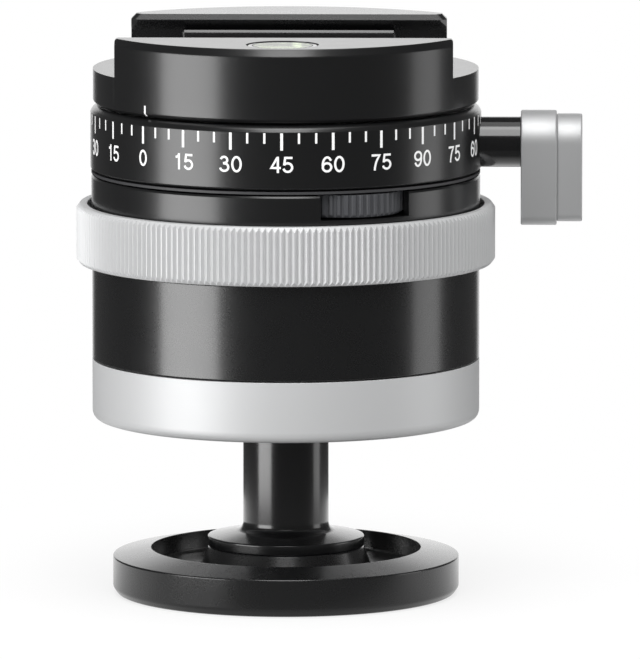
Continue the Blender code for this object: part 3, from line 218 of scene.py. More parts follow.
# The foot disc: turned from aluminium bar, with a sloped rim round a deep annular recess and a
# conical hub in the middle, bead-blasted and anodised black.
MM = 0.001
FOOT_SIZE = 30.0
FOOT_OUTLINE = [(6.1, 8.1), (13.45, 8.1), (14.85, 4.4), (23.4, 4.4), (23.4, 7.8), (FOOT_SIZE, 6.5),
                (FOOT_SIZE, 1.1), (29.2, 0.0), (9.3, 0.0), (9.3, 2.3), (6.1, 2.3)]
FOOT_EDGES = [0.1, 0.25, 0.5, 0.5, 0.12, 0.22, 0.3, 0.3, 0.1, 0.1, 0.1]
ROUND_COLUMNS = 256
CORNER_LIMIT = 0.4        # the share of a side that a rounded corner may take
FLAT_GUARD = 0.12         # how much further out a corner's extra points lie
MERGE = 1e-6              # points nearer than this, in metres, are one


def rounded(corners, radii, steps=4):
    """A closed outline in millimetres with rounded corners, in metres. Between the points at a
    corner's radius before and after it the line follows (1-t)^2 a + 2t(1-t) p + t^2 c, with one
    more point a little further out on either side, which keeps the flats' shading flat."""
    p = np.asarray(corners, float) * MM
    cut = np.broadcast_to(np.asarray(radii, float), len(p))[:, None] * MM
    back, on = np.roll(p, 1, 0) - p, np.roll(p, -1, 0) - p
    back_length = np.linalg.norm(back, axis=1)[:, None]
    on_length = np.linalg.norm(on, axis=1)[:, None]
    a = p + back / back_length * np.minimum(cut, back_length * CORNER_LIMIT)
    c = p + on / on_length * np.minimum(cut, on_length * CORNER_LIMIT)
    t = np.linspace(0, 1, steps)[:, None, None]
    bend = (1 - t) ** 2 * a + 2 * t * (1 - t) * p + t ** 2 * c
    further_back, further_on = a + (a - p) * FLAT_GUARD, c + (c - p) * FLAT_GUARD
    line = np.concatenate([further_back[None], bend, further_on[None]])
    line = line.transpose(1, 0, 2).reshape(-1, 2)
    return line[np.linalg.norm(line - np.roll(line, 1, 0), axis=1) > MERGE / 100]


def piece(name, points, faces, finish, sharp=32, merge=MERGE):
    """A mesh object at the origin from its points and groups of faces, with doubles merged and
    faces turned outwards. It is shaded smooth up to edges of the sharp angle in degrees, or flat
    where that is None."""
    mesh = bpy.data.meshes.new(name)
    mesh.from_pydata(np.asarray(points).reshape(-1, 3).tolist(), [],
                     [face for group in faces for face in np.asarray(group).tolist()])
    work = bmesh.new()
    work.from_mesh(mesh)
    bmesh.ops.remove_doubles(work, verts=work.verts, dist=merge)
    bmesh.ops.recalc_face_normals(work, faces=work.faces)
    work.to_mesh(mesh)
    work.free()
    if sharp is not None:
        mesh.polygons.foreach_set("use_smooth", np.ones(len(mesh.polygons), bool))
        mesh.set_sharp_from_angle(angle=radians(sharp))
    mesh.materials.append(finish)
    made = bpy.data.objects.new(name, mesh)
    scene.collection.objects.link(made)
    return made


def quads(rows, columns, closed=(True, True), start=0):
    """Four-cornered faces between neighbours of a grid of points, numbered row by row."""
    i, j = np.meshgrid(np.arange(rows if closed[0] else rows - 1),
                       np.arange(columns if closed[1] else columns - 1), indexing="ij")
    i2, j2 = (i + 1) % rows, (j + 1) % columns
    return start + np.stack([i * columns + j, i * columns + j2, i2 * columns + j2,
                             i2 * columns + j], -1).reshape(-1, 4)


def spun(outline, columns=ROUND_COLUMNS):
    """Points of a closed outline (r, z) spun about Z: (r cos a, r sin a, z)."""
    a = np.arange(columns) * 2 * pi / columns
    r, z = outline[:, :1], outline[:, 1:]
    return np.stack([r * np.cos(a), r * np.sin(a), np.broadcast_to(z, (len(r), columns))], -1)


def turned(name, outline, finish, columns=ROUND_COLUMNS):
    """A turned piece: a closed outline spun about Z."""
    return piece(name, spun(outline, columns), [quads(len(outline), columns)], finish)


def new_finish(name, colour, steady=None):
    """A new material, its shader and a wire of the place on the piece. The colour and the other
    steady values are set on the shader's sockets."""
    finish = bpy.data.materials.new(name)
    finish.use_nodes = True
    shader = finish.node_tree.nodes["Principled BSDF"]
    shader.inputs["Base Color"].default_value = (*colour, 1)
    for socket, value in (steady or {}).items():
        shader.inputs[socket].default_value = value
    return finish, shader, Wire.node(finish.node_tree, "TexCoord", output="Object")


def speckle(place, scale, detail=2.0):
    """Noise whose spots are about 1 / scale metres wide."""
    return Wire.node(place.tree, "TexNoise", inputs={"Vector": place, "Scale": scale,
                                                     "Detail": detail})


def raised(shader, height, strength, distance=0.00002):
    """Bump a shader's surface by a height between 0 and 1, times a distance in metres."""
    bump = Wire.node(height.tree, "Bump", inputs={"Strength": strength, "Distance": distance,
                                                  "Height": height})
    bump.into(shader, "Normal")


def anodised_black(name, grain=1.0, gloss=0.0, index=1.62):
    """Black anodised aluminium: a near-black dye under a clear oxide skin. Blasting leaves a fine
    grain of about a quarter of a millimetre, and the roughness wanders a little over the surface."""
    dye = (0.0045, 0.0046, 0.0050)
    finish, shader, place = new_finish(name, dye, {"IOR": index, "Coat Weight": 1.0,
                                                   "Coat Roughness": 0.17 - gloss})
    fine, broad = speckle(place, 3800.0), speckle(place, 220.0, 3.0)
    (broad * 0.06 + fine * 0.06 + (0.22 - gloss)).into(shader, "Roughness")
    raised(shader, fine, 0.10 * grain)
    return finish


black = anodised_black("anodised_black", grain=3.0)
satin = anodised_black("satin_black", grain=5.0, gloss=-0.04, index=1.5)
foot_disc = turned("foot_disc_turned", rounded(FOOT_OUTLINE, FOOT_EDGES), black)
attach(foot_disc, "root")
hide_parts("foot_disc")


# The stem: turned aluminium, anodised black and a little glossier than the foot, with a sloped
# flange that sits on the foot's hub and a spigot that goes up into the ball.
STEM_OUTLINE = [(0, 24.0), (2.8, 24.0), (2.8, 51.5), (5.0, 51.5), (5.0, 29.6), (7.42, 29.6),
                (7.42, 11.1), (13.55, 9.9), (13.55, 8.12), (6.1, 8.12), (6.1, 13.3), (0, 13.3)]
STEM_EDGES = [0, 0.1, 0.3, 0.3, 0.1, 0.2, 1.3, 0.25, 0.2, 0.1, 0.2, 0]
stem_finish = anodised_black("stem_black", grain=0.6, gloss=0.03)
stem = turned("stem_turned", rounded(STEM_OUTLINE, STEM_EDGES, 7), stem_finish, 160)
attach(stem, "root")
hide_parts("stem")


# The collar round the ball's mouth: turned aluminium, blasted fine and anodised in its natural
# silver. Its lower edge is rounded, and the drop notch opens it at the back.
NOTCH_HALF = 8.02
BALL_LEVEL = 49.0
HOUSING_SIZE = 33.5
SLACK = 1e-7              # two lengths, in metres, that differ by less are the same
COLLAR_OUTLINE = [(25.3, 41.0), (HOUSING_SIZE, 41.0), (HOUSING_SIZE, 30.5), (23.5, 30.5),
                  (18.0, 37.9), (25.3, 37.9)]
COLLAR_EDGES = [0.1, 0.12, 1.75, 0.5, 0.3, 0.1]


def notch_half(z):
    """Half the notch's width at a height: even up to the ball's centre, then a half circle."""
    rise = np.maximum(z - BALL_LEVEL * MM, 0)
    return np.sqrt(np.maximum((NOTCH_HALF * MM) ** 2 - rise ** 2, 0))


def notched(name, outline, finish, columns=ROUND_COLUMNS):
    """A closed outline (r, z) spun about Z from one wall of the drop notch round to the other:
    the angle runs from pi/2 + asin(h/r) to 5pi/2 - asin(h/r), with h the notch's half width at
    that height. The two ends are closed with one many-cornered face each below the ball's centre
    and, where the notch arches over, with a strip between the outer and the inner wall."""
    r, z = outline[:, 0], outline[:, 1]
    half = notch_half(z)
    reach = np.arcsin(np.minimum(half / r, 1))
    u = np.linspace(0, 1, columns + 1)
    a = pi / 2 + reach[:, None] + u * (2 * pi - 2 * reach[:, None])
    points = np.stack([r[:, None] * np.cos(a), r[:, None] * np.sin(a),
                       np.broadcast_to(z[:, None], a.shape)], -1)
    faces = [quads(len(outline), columns + 1, (True, False))]
    low = np.flatnonzero(z <= BALL_LEVEL * MM + SLACK)
    gap = np.flatnonzero(np.diff(low) > 1)
    if len(gap):
        low = np.roll(low, -gap[0] - 1)
    outer, inner = [low[-1]], [low[0]]
    while half[(outer[-1] + 1) % len(z)] > SLACK and len(low) < len(z):
        outer.append((outer[-1] + 1) % len(z))
        inner.append((inner[-1] - 1) % len(z))
    outer.append((outer[-1] + 1) % len(z))
    inner.append((inner[-1] - 1) % len(z))
    for end in (0, columns):
        faces.append([low * (columns + 1) + end])
        if len(low) < len(z):
            o, i = np.array(outer), np.array(inner)
            faces.append(np.stack([o[:-1], o[1:], i[1:], i[:-1]], -1) * (columns + 1) + end)
    return piece(name, points, faces, finish)


def anodised_silver(name, rough=0.48, grain=1.0, metal=0.3, grey=0.605):
    """Natural anodised aluminium: fine blasting under a clear skin, a soft broad shine."""
    colour = (grey, grey + 0.005, grey + 0.01)
    finish, shader, place = new_finish(name, colour, {"Metallic": metal})
    fine, broad = speckle(place, 5500.0), speckle(place, 160.0, 3.0)
    (broad * 0.06 + fine * 0.10 + (rough - 0.08)).into(shader, "Roughness")
    raised(shader, fine, 0.12 * grain)
    return finish


silver = anodised_silver("anodised_silver")
collar = notched("ball_collar_turned", rounded(COLLAR_OUTLINE, COLLAR_EDGES, 7), silver)
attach(collar, "housing")
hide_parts("ball_collar")


# The barrel: the housing's black body, with a shoulder and a thin sleeve that carries the lock
# ring. The drop notch runs up its back and ends in a half circle above the ball's centre.
ARCH_STEPS = 8
BARREL_BORE = 22.6
ARCH = [BALL_LEVEL + NOTCH_HALF * sin(i * pi / 2 / ARCH_STEPS) for i in range(ARCH_STEPS + 1)]
BARREL_OUTLINE = [(25.3, 41.3), (HOUSING_SIZE, 41.3), *[(HOUSING_SIZE, z) for z in ARCH],
                  (HOUSING_SIZE, 57.5), (31.0, 57.5), (31.0, 66.0), (28.3, 66.0), (28.3, 57.32),
                  (BARREL_BORE, 57.32), *[(BARREL_BORE, z) for z in reversed(ARCH)],
                  (BARREL_BORE, 45.3), (25.3, 45.3)]
BARREL_EDGES = [0.1, 0.12, *[0] * len(ARCH), 0.25, 0.1, 0.15, 0.15, 0.1, 0.1, *[0] * len(ARCH),
                0.1, 0.1]
barrel = notched("barrel_turned", rounded(BARREL_OUTLINE, BARREL_EDGES), black)
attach(barrel, "housing")
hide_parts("barrel")


# The ball: aluminium, turned and ground, anodised to a dark satin, with a flat where the stem
# meets it. It shows in the drop notch and in the collar's mouth.
BALL_SIZE = 20.502
BALL_TOP, BALL_FLAT = radians(77), radians(-68.8)
BALL_OUTLINE = [*[(BALL_SIZE * cos(a), BALL_LEVEL + BALL_SIZE * sin(a))
                  for a in np.linspace(BALL_TOP, BALL_FLAT, 96)],
                (5.3, 29.89), (5.3, 51.8), (2.8, 51.8), (2.8, 64.0), (4.6, 64.0)]
ball_finish = anodised_black("ball_anodised", grain=0.3, gloss=0.06)
ball = turned("ball_turned", rounded(BALL_OUTLINE, [0] * len(BALL_OUTLINE)), ball_finish, 192)
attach(ball, "ball")
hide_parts("ball")


# The lock ring: aluminium with a straight knurl of 208 teeth, blasted and anodised silver. Its
# upper ledge covers the barrel's sleeve, and three keys go through it to the cam ring.
RING_OUTLINE = [(31.3, 57.8), (35.6, 57.8), (35.7, 57.9), (36.2, 58.55), (36.2, 67.15),
                (35.7, 67.85), (35.55, 68.0), (34.3, 68.0), (34.3, 66.0), (31.3, 66.0)]
RING_EDGES = [0.1, 0, 0, 0, 0, 0, 0.1, 0.25, 0.1, 0.1]


def knurled(name, outline, teeth, depth, crest, valley, finish, at=(0, 0)):
    """A closed outline (r, z) spun about Z whose outermost part is a straight knurl. With u the
    place in a tooth from 0 to 1, r = min(outline r, R - depth (1 - h(u))): h is 1 on the crest,
    0 in the valley and straight on the flanks. Each square is split from its furthest corner, so
    the flanks meet the chamfers along straight lines."""
    flank = (1 - crest - valley) / 2
    u = np.array([0, crest, crest + flank, 1 - flank])
    a = (np.arange(teeth)[:, None] + u).ravel() * 2 * pi / teeth
    crown = outline[:, 0].max() - depth * MM * np.tile([0, 0, 1, 1], teeth)
    r = np.minimum(outline[:, :1], crown)
    points = np.stack([at[0] * MM + r * np.cos(a), at[1] * MM + r * np.sin(a),
                       np.broadcast_to(outline[:, 1:], r.shape)], -1)
    squares = quads(len(outline), len(a))
    first = np.argmax(r.ravel()[squares], axis=1)[:, None]
    turned_squares = np.take_along_axis(squares, (first + np.arange(4)) % 4, 1)
    return piece(name, points, [turned_squares[:, [0, 1, 2]], turned_squares[:, [0, 2, 3]]], finish)


ring_silver = anodised_silver("ring_silver", rough=0.46, grain=1.2)
lock_ring = knurled("lock_ring_knurled", rounded(RING_OUTLINE, RING_EDGES, 3), teeth=208,
                    depth=0.5, crest=0.14, valley=0.04, finish=ring_silver)
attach(lock_ring, "lock_ring")
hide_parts("lock_ring")


# The neck: a black turned plate over the lock ring, with a pocket and a window milled for the
# thumbwheel. Four screws hold it on the barrel's sleeve.
NECK_SIZE = 33.6
NECK_OUTLINE = [(11.0, 73.0), (33.4, 73.0), (NECK_SIZE, 72.65), (NECK_SIZE, 66.3), (28.3, 66.3),
                (28.3, 68.2), (11.0, 68.2)]
NECK_EDGES = [0.1, 0.05, 0.05, 0.12, 0.1, 0.1, 0.1]
OVER_NECK = 74.0
WHEEL_CENTRE = (10.148, -21.086)
WHEEL_TURN = radians(-64.3)
POCKET_SIZE, POCKET_FLOOR = 10.9, 68.8
WINDOW_HALF = 8.27
NECK_SCREW_CIRCLE, NECK_SCREW_SEAT = 29.65, 71.0


def capped(name, loops, finish, sharp=32):
    """A closed piece through a stack of loops of points, with a flat cap at either end."""
    loops = np.asarray(loops, float)
    levels, count = loops.shape[:2]
    ends = [[np.arange(count)], [np.arange(count) + (levels - 1) * count]]
    return piece(name, loops, [quads(levels, count, (False, True))] + ends, finish, sharp)


def circle(radius, at, columns=48):
    """Points of a circle about a place (x, y, z), level: r cos a, r sin a."""
    a = np.arange(columns) * 2 * pi / columns
    return np.stack([at[0] + radius * np.cos(a), at[1] + radius * np.sin(a),
                     np.full(columns, float(at[2]))], -1) * MM


def post(name, radius, at, low, high, finish, columns=48):
    """An upright round post or hole."""
    return capped(name, [circle(radius, (*at, low), columns), circle(radius, (*at, high), columns)],
                  finish)


def block(name, low, high, finish, turn=0.0, at=(0, 0)):
    """A box between two corners in millimetres, then turned about Z and set at a place."""
    corners = np.array([(low[0], low[1]), (high[0], low[1]), (high[0], high[1]), (low[0], high[1])],
                       float)
    across = np.stack([corners[:, 0] * cos(turn) - corners[:, 1] * sin(turn) + at[0],
                       corners[:, 0] * sin(turn) + corners[:, 1] * cos(turn) + at[1]], -1)
    loops = [np.column_stack([across, np.full(4, float(z))]) * MM for z in (low[2], high[2])]
    return capped(name, loops, finish)


def screw_hole(name, at, low, seat, top, shank=1.3, head=2.1):
    """Cutters for a screw with a sunk head: a hole for its shank and a wider one for the head."""
    return [post(f"{name}_shank", shank, at, low, top, black),
            post(f"{name}_head", head, at, seat, top, black)]


def milled(target, cutters, edge=0.12, sharp=33):
    """Cut closed pieces out of another one, break the edges that are left, and let the flat faces
    set the shading along them."""
    for cutter in cutters:
        change = target.modifiers.new(cutter.name, "BOOLEAN")
        change.operation, change.solver, change.object = "DIFFERENCE", "EXACT", cutter
    if edge:
        change = target.modifiers.new("broken_edges", "BEVEL")
        change.width, change.segments, change.limit_method = edge * MM, 2, "ANGLE"
        change.angle_limit = radians(sharp)
        change.miter_outer = "MITER_ARC"
    bpy.context.view_layer.update()
    graph = bpy.context.evaluated_depsgraph_get()
    solid = bpy.data.meshes.new_from_object(target.evaluated_get(graph))
    target.modifiers.clear()
    target.data = solid
    solid.polygons.foreach_set("use_smooth", np.ones(len(solid.polygons), bool))
    solid.set_sharp_from_angle(angle=radians(sharp))
    change = target.modifiers.new("flat_faces", "WEIGHTED_NORMAL")
    change.keep_sharp, change.weight = True, 100
    for cutter in cutters:
        bpy.data.objects.remove(cutter)


neck = turned("neck_turned", rounded(NECK_OUTLINE, NECK_EDGES), satin)
cutters = [post("cut_pocket", POCKET_SIZE, WHEEL_CENTRE, POCKET_FLOOR, OVER_NECK, black, 128),
           block("cut_window", (0, -WINDOW_HALF, POCKET_FLOOR), (13.0, WINDOW_HALF, OVER_NECK),
                 black, WHEEL_TURN, WHEEL_CENTRE),
           post("cut_axle", 1.8, WHEEL_CENTRE, 67.0, 69.5, black)]
for i in range(4):
    angle = WHEEL_TURN + pi / 4 + i * pi / 2
    at = (NECK_SCREW_CIRCLE * cos(angle), NECK_SCREW_CIRCLE * sin(angle))
    cutters += screw_hole(f"cut_neck_screw_{i}", at, 60.0, NECK_SCREW_SEAT, OVER_NECK)
milled(neck, cutters)
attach(neck, "housing")
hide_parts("neck")


# The friction thumbwheel: a dark wheel with straight ribs, lying in the neck's pocket.
WHEEL_OUTLINE = [(1.8, 73.0), (10.6, 73.0), (10.6, 69.6), (10.1, 69.1), (1.8, 69.1)]
WHEEL_EDGES = [0.1, 0.15, 0.1, 0.1, 0.1]


def moulded(name, colour):
    """Hard moulded plastic with a fine matt grain."""
    finish, shader, place = new_finish(name, colour)
    fine = speckle(place, 4200.0, 3.0)
    (fine * 0.2 + 0.40).into(shader, "Roughness")
    raised(shader, fine, 0.15)
    return finish


wheel_finish = moulded("wheel_grey", (0.060, 0.062, 0.068))
wheel = knurled("friction_wheel_ribbed", rounded(WHEEL_OUTLINE, WHEEL_EDGES, 3), teeth=50,
                depth=0.35, crest=0.34, valley=0.22, finish=wheel_finish, at=WHEEL_CENTRE)
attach(wheel, "friction_wheel")
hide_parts("friction_wheel")


# The slip washer: a thin plastic ring that shows as a fine line under the scale ring.
WASHER_OUTLINE = [(11.0, 73.3), (NECK_SIZE, 73.3), (NECK_SIZE, 73.75), (11.0, 73.75)]
washer_finish = moulded("washer_plastic", (0.045, 0.045, 0.048))
washer = turned("slip_washer_cut", rounded(WASHER_OUTLINE, [0.05] * 4), washer_finish)
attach(washer, "housing")
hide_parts("slip_washer")


# The scale ring: black turned aluminium round the panning spindle, bored for the pan lock. Its
# scale is engraved and filled with white, two quarter turns up and down again.
SCALE_SIZE = 33.75
SCALE_OUTLINE = [(9.3, 74.05), (33.45, 74.05), (SCALE_SIZE, 74.35), (SCALE_SIZE, 83.95),
                 (33.4, 84.55), (32.7, 85.1), (9.3, 85.1)]
SCALE_EDGES = [0.1, 0.1, 0.1, 0.12, 0.3, 0.3, 0.1]
SHAFT_LEVEL = 78.6
LOCK_BORE = [(3.5, 4.5), (3.5, 32.3), (4.5, 32.3), (4.5, 36.0)]   # radius, distance from the axis
SCALE_SCREW_CIRCLE, SCALE_SCREW_SEAT = 22.0, 83.1
scale_ring = turned("scale_ring_turned", rounded(SCALE_OUTLINE, SCALE_EDGES, 7), satin)
cutters = [capped("cut_lock_bore", [np.roll(circle(radius, (0, 0, 0)), 1, 1)
                                    + np.array([x, 0, SHAFT_LEVEL]) * MM
                                    for radius, x in LOCK_BORE], black)]
for i in range(3):
    angle = radians(45 + 90 * i)
    at = (SCALE_SCREW_CIRCLE * cos(angle), SCALE_SCREW_CIRCLE * sin(angle))
    cutters += screw_hole(f"cut_scale_screw_{i}", at, 70.0, SCALE_SCREW_SEAT, 86.0)
milled(scale_ring, cutters, 0.08)
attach(scale_ring, "housing")
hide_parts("scale_ring")


# The marks: white paint in the engraving, a hair proud of the black wall. A short mark stands at
# every five degrees and a long one with its number at every fifteen.
ZERO_MARK = radians(-134.9)
MARK_TOP = 83.85
SHORT_MARK, SHORT_WIDTH = 1.8, 0.37
LONG_MARK, LONG_WIDTH = 2.95, 0.47
DIGIT_HEIGHT, DIGIT_GAP = 2.78, 1.05
PAINT, ENGRAVED = 0.018, 0.06             # how far paint stands out of the wall and goes into it
LAYER = 0.004                             # how far a digit's second stroke lies under its first
PAINT_MERGE = 1e-7


def white_paint(name):
    """Matt white filling paint with a faint unevenness."""
    finish, shader, place = new_finish(name, (0.86, 0.86, 0.86))
    fine = speckle(place, 4000.0)
    (fine * 0.2 + 0.45).into(shader, "Roughness")
    raised(shader, fine, 0.05, 0.00001)
    return finish


def wrapped(flat, radius, angle):
    """Points of a flat drawing (across, up, out) laid round an upright cylinder in front of an
    angle: across becomes the angle across / radius, out is added to the radius."""
    a = angle + flat[:, 0] / radius
    r = radius + flat[:, 2]
    return np.column_stack([r * np.cos(a), r * np.sin(a), flat[:, 1]])


def stroke(width, levels):
    """A closed upright bar through levels (height, how far the wall stands back there)."""
    across = np.array([-0.5, 0, 0.5, 0.5, 0, -0.5]) * width
    out = np.repeat([PAINT, -ENGRAVED], 3)
    loops = [np.stack([across, np.full(6, height), out - back], -1) * MM for height, back in levels]
    faces = quads(len(levels), 6, (False, True)).tolist()
    ends = [[i for i in range(6)], [(len(levels) - 1) * 6 + i for i in range(6)]]
    return np.concatenate(loops), faces + ends


def arc(x, y, across, up, start, end, steps=15):
    """Points of an ellipse about (x, y) from one angle to another, in degrees, in a digit's
    height: x + across cos t, y + up sin t."""
    t = np.radians(np.linspace(start, end, steps))
    return np.stack([x + across * np.cos(t), y + up * np.sin(t)], -1)


def ribbon(line, width, closed, back):
    """A flat closed bar along a line of points, its corners mitred: at a point between the unit
    normals n and m of its neighbours the sides lie at +-w/2 (n + m) / (1 + n.m), with a limit on
    that for sharp corners."""
    mitre_limit = 0.6
    step = np.roll(line, -1, 0) - line
    normal = np.stack([-step[:, 1], step[:, 0]], -1) / np.linalg.norm(step, axis=1)[:, None]
    before = np.roll(normal, 1, 0)
    if not closed:
        before[0], normal[-1] = normal[0], before[-1]
    lean = np.maximum(1 + (before * normal).sum(1), mitre_limit)[:, None]
    side = (before + normal) / lean * width / 2
    top, base = PAINT - back, -ENGRAVED
    loops = [np.column_stack([line + side * sign, np.full(len(line), out)])
             for sign, out in ((1, base), (-1, base), (-1, top), (1, top))]
    faces = quads(len(line), 4, (closed, True)).tolist()
    if not closed:
        faces += [[0, 1, 2, 3], [len(line) * 4 - 4 + i for i in range(4)]]
    return np.stack(loops, 1).reshape(-1, 3), faces


# Digits are drawn as strokes in shares of their height, from the lower left corner.
BAR_SHARE, WIDTH_SHARE, STEP_SHARE = 0.137, 0.67, 0.775
SIX = [(arc(0.335, 0.32, 0.265, 0.25, 0, 345, 24), True),
       (arc(0.345, 0.46, 0.275, 0.47, 190, 33), False)]
DIGITS = {"0": [(arc(0.335, 0.5, 0.265, 0.435, 0, 350, 36), True)],
          "1": [(np.array([(0.43, 0.0), (0.43, 1.0)]), False),
                (np.array([(0.42, 0.94), (0.37, 0.84), (0.29, 0.78), (0.18, 0.76)]), False)],
          "3": [(np.concatenate([arc(0.32, 0.74, 0.205, 0.19, 168, -60),
                                 [(0.26, 0.535)]]), False),
                (np.concatenate([[(0.26, 0.535)], arc(0.325, 0.30, 0.265, 0.235, 62, -168)]), False)],
          "4": [(np.array([(0.49, 0.0), (0.49, 1.0)]), False),
                (np.array([(0.455, 0.94), (0.09, 0.31), (0.38, 0.31), (0.67, 0.31)]), False)],
          "5": [(np.array([(0.61, 0.93), (0.38, 0.93), (0.165, 0.93), (0.10, 0.47)]), False),
                (arc(0.32, 0.335, 0.27, 0.265, 142, -164), False)],
          "6": SIX,
          "7": [(np.array([(0.05, 0.93), (0.33, 0.93), (0.60, 0.93), (0.45, 0.70), (0.34, 0.45),
                           (0.28, 0.2), (0.26, 0.0)]), False)],
          "9": [((WIDTH_SHARE, 1.0) - line, closed) for line, closed in SIX]}


def number(body, height, low):
    """A number in plain strokes as closed flat drawings, middled on the angle."""
    points, faces, count = [], [], 0
    left = -((len(body) - 1) * STEP_SHARE + WIDTH_SHARE) / 2
    for place, digit in enumerate(body):
        for layer, (line, closed) in enumerate(DIGITS[digit]):
            placed = (line + (left + place * STEP_SHARE, 0)) * height + (0, low)
            made, sides = ribbon(placed, BAR_SHARE * height, closed, layer * LAYER)
            points.append(made * MM)
            faces += [[v + count for v in side] for side in sides]
            count += len(made)
    return np.concatenate(points), faces


def painted(name, drawings, finish):
    """One mesh of many wrapped drawings, each (points, faces, radius in mm, angle)."""
    points, faces, count = [], [], 0
    for flat, sides, radius, angle in drawings:
        points.append(wrapped(flat, radius * MM, angle))
        faces += [np.array([side]) + count for side in sides]
        count += len(flat)
    return piece(name, np.concatenate(points), faces, finish, sharp=None, merge=PAINT_MERGE)


paint = white_paint("white_paint")
short_mark = stroke(SHORT_WIDTH, [(MARK_TOP - SHORT_MARK, 0), (MARK_TOP, 0)])
long_mark = stroke(LONG_WIDTH, [(MARK_TOP - LONG_MARK, 0), (MARK_TOP, 0)])
digits_low = MARK_TOP - LONG_MARK - DIGIT_GAP - DIGIT_HEIGHT
drawings = []
for degrees in range(0, 360, 5):
    angle = ZERO_MARK + radians(degrees)
    if degrees % 15:
        drawings.append((*short_mark, SCALE_SIZE, angle))
        continue
    drawings.append((*long_mark, SCALE_SIZE, angle))
    body = str(min(degrees % 180, 180 - degrees % 180))
    drawings.append((*number(body, DIGIT_HEIGHT, digits_low), SCALE_SIZE, angle))
degree_scale = painted("degree_scale", drawings, paint)
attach(degree_scale, "housing")


# The pan lock's shaft: turned steel, blackened and polished, through the scale ring's wall.
SHAFT_OUTLINE = [(0, 14.0), (3.2, 14.0), (3.2, 32.6), (4.35, 32.6), (4.35, 40.6), (0, 40.6)]
SHAFT_EDGES = [0, 0.2, 0.1, 0.1, 0.1, 0]
shaft_finish = anodised_black("shaft_gloss", grain=0.15, gloss=0.12)
shaft_points = np.roll(spun(rounded(SHAFT_OUTLINE, SHAFT_EDGES, 5), 96), 1, 2)
shaft_points[:, :, 2] += SHAFT_LEVEL * MM
shaft = piece("pan_lock_shaft_turned", shaft_points, [quads(len(shaft_points), 96)], shaft_finish)
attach(shaft, "pan_lock")
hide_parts("pan_lock_shaft")


# The pan lock's lever and its cap: two blocks of silver aluminium, round over the shaft and
# straight below, one a little smaller than the other, with finely broken edges.
LEVER_START, LEVER_END, CAP_END = 40.6, 46.8, 51.2
LEVER_BREAK = 0.3


def hanging(half, low, corner, steps=8):
    """The lever's outline seen along its shaft: a half circle over the axis, straight sides, and
    two small quarter circles at the bottom."""
    top = np.linspace(0, pi, 6 * steps)
    left, right = np.linspace(pi, 3 * pi / 2, steps), np.linspace(-pi / 2, 0, steps)
    y = np.concatenate([half * np.cos(top), corner - half + corner * np.cos(left),
                        half - corner + corner * np.cos(right)])
    z = np.concatenate([half * np.sin(top), low + corner + corner * np.sin(left),
                        low + corner + corner * np.sin(right)])
    return y, z


def lever_block(name, half, low, corner, start, end, finish):
    """Loops of the outline from one end to the other, drawn in by e (1 - sin f) while the place
    along the shaft runs over e (1 - cos f) at each end."""
    f = np.linspace(0, pi / 2, 5)
    drawn_in = np.concatenate([[LEVER_BREAK * 1.5], LEVER_BREAK * (1 - np.sin(f))])
    along = np.concatenate([[0], LEVER_BREAK * (1 - np.cos(f))])
    levels = [(inward, start + step) for inward, step in zip(drawn_in, along)]
    levels += [(inward, end - step) for inward, step in zip(drawn_in[::-1], along[::-1])]
    loops = []
    for inward, x in levels:
        y, z = hanging(half - inward, low + inward, max(corner - inward, LEVER_BREAK))
        loops.append(np.stack([np.full(len(y), x), y, z + SHAFT_LEVEL], -1) * MM)
    return capped(name, loops, finish)


lever_silver = anodised_silver("lever_silver", rough=0.46, grain=0.8, metal=0.68, grey=0.66)
lever = lever_block("pan_lock_lever_milled", half=5.5, low=-14.0, corner=1.7,
                    start=LEVER_START, end=LEVER_END, finish=lever_silver)
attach(lever, "pan_lock")
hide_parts("pan_lock_lever")
cap = lever_block("pan_lock_cap_milled", half=4.9, low=-13.4, corner=1.4,
                  start=LEVER_END, end=CAP_END, finish=lever_silver)
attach(cap, "pan_lock")
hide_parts("pan_lock_cap")


# The clamp disc: black aluminium, turned, then milled so that only the fixed jaw stands up at
# the front, with a dovetail groove under its lip and a pocket for the bubble level in its top.
DISC_SIZE = 33.3
TOP = 98.0
DISC_OUTLINE = [(0, TOP), (32.6, TOP), (DISC_SIZE, 96.75), (DISC_SIZE, 86.0), (32.7, 85.4),
                (0, 85.4)]
DISC_EDGES = [0, 0.15, 0.2, 0.15, 0.15, 0]
DECK, RELIEF = 91.4, 91.0
JAW_END, JAW_CORNER = 29.0, 0.6
LIP_Y, REAR_Y = -13.7, 24.3
GROOVE_TOP, GROOVE_KNEE, GROOVE_DEPTH = 96.9, 95.2, 1.7
CLEAR, OVER = 40.0, 99.0                  # beyond the disc's edge, over the top: for cutters
LEVEL_Y = -24.7
ROD_X, ROD_LEVEL, ROD_BORE = 13.0, 88.4, 1.8
CLAMP_BREAK = 0.14


def groove(name, lip, away, base, reach=46.0):
    """The dovetail groove under a jaw's lip, a bar along X; away is the way it runs in."""
    mouth, back = lip - away, lip + away * GROOVE_DEPTH
    y = np.array([mouth, lip, back, back, mouth])
    z = np.array([GROOVE_TOP, GROOVE_TOP, GROOVE_KNEE, base, base])
    loops = [np.stack([np.full(5, x), y, z], -1) * MM for x in (-reach, reach)]
    return capped(name, loops, black)


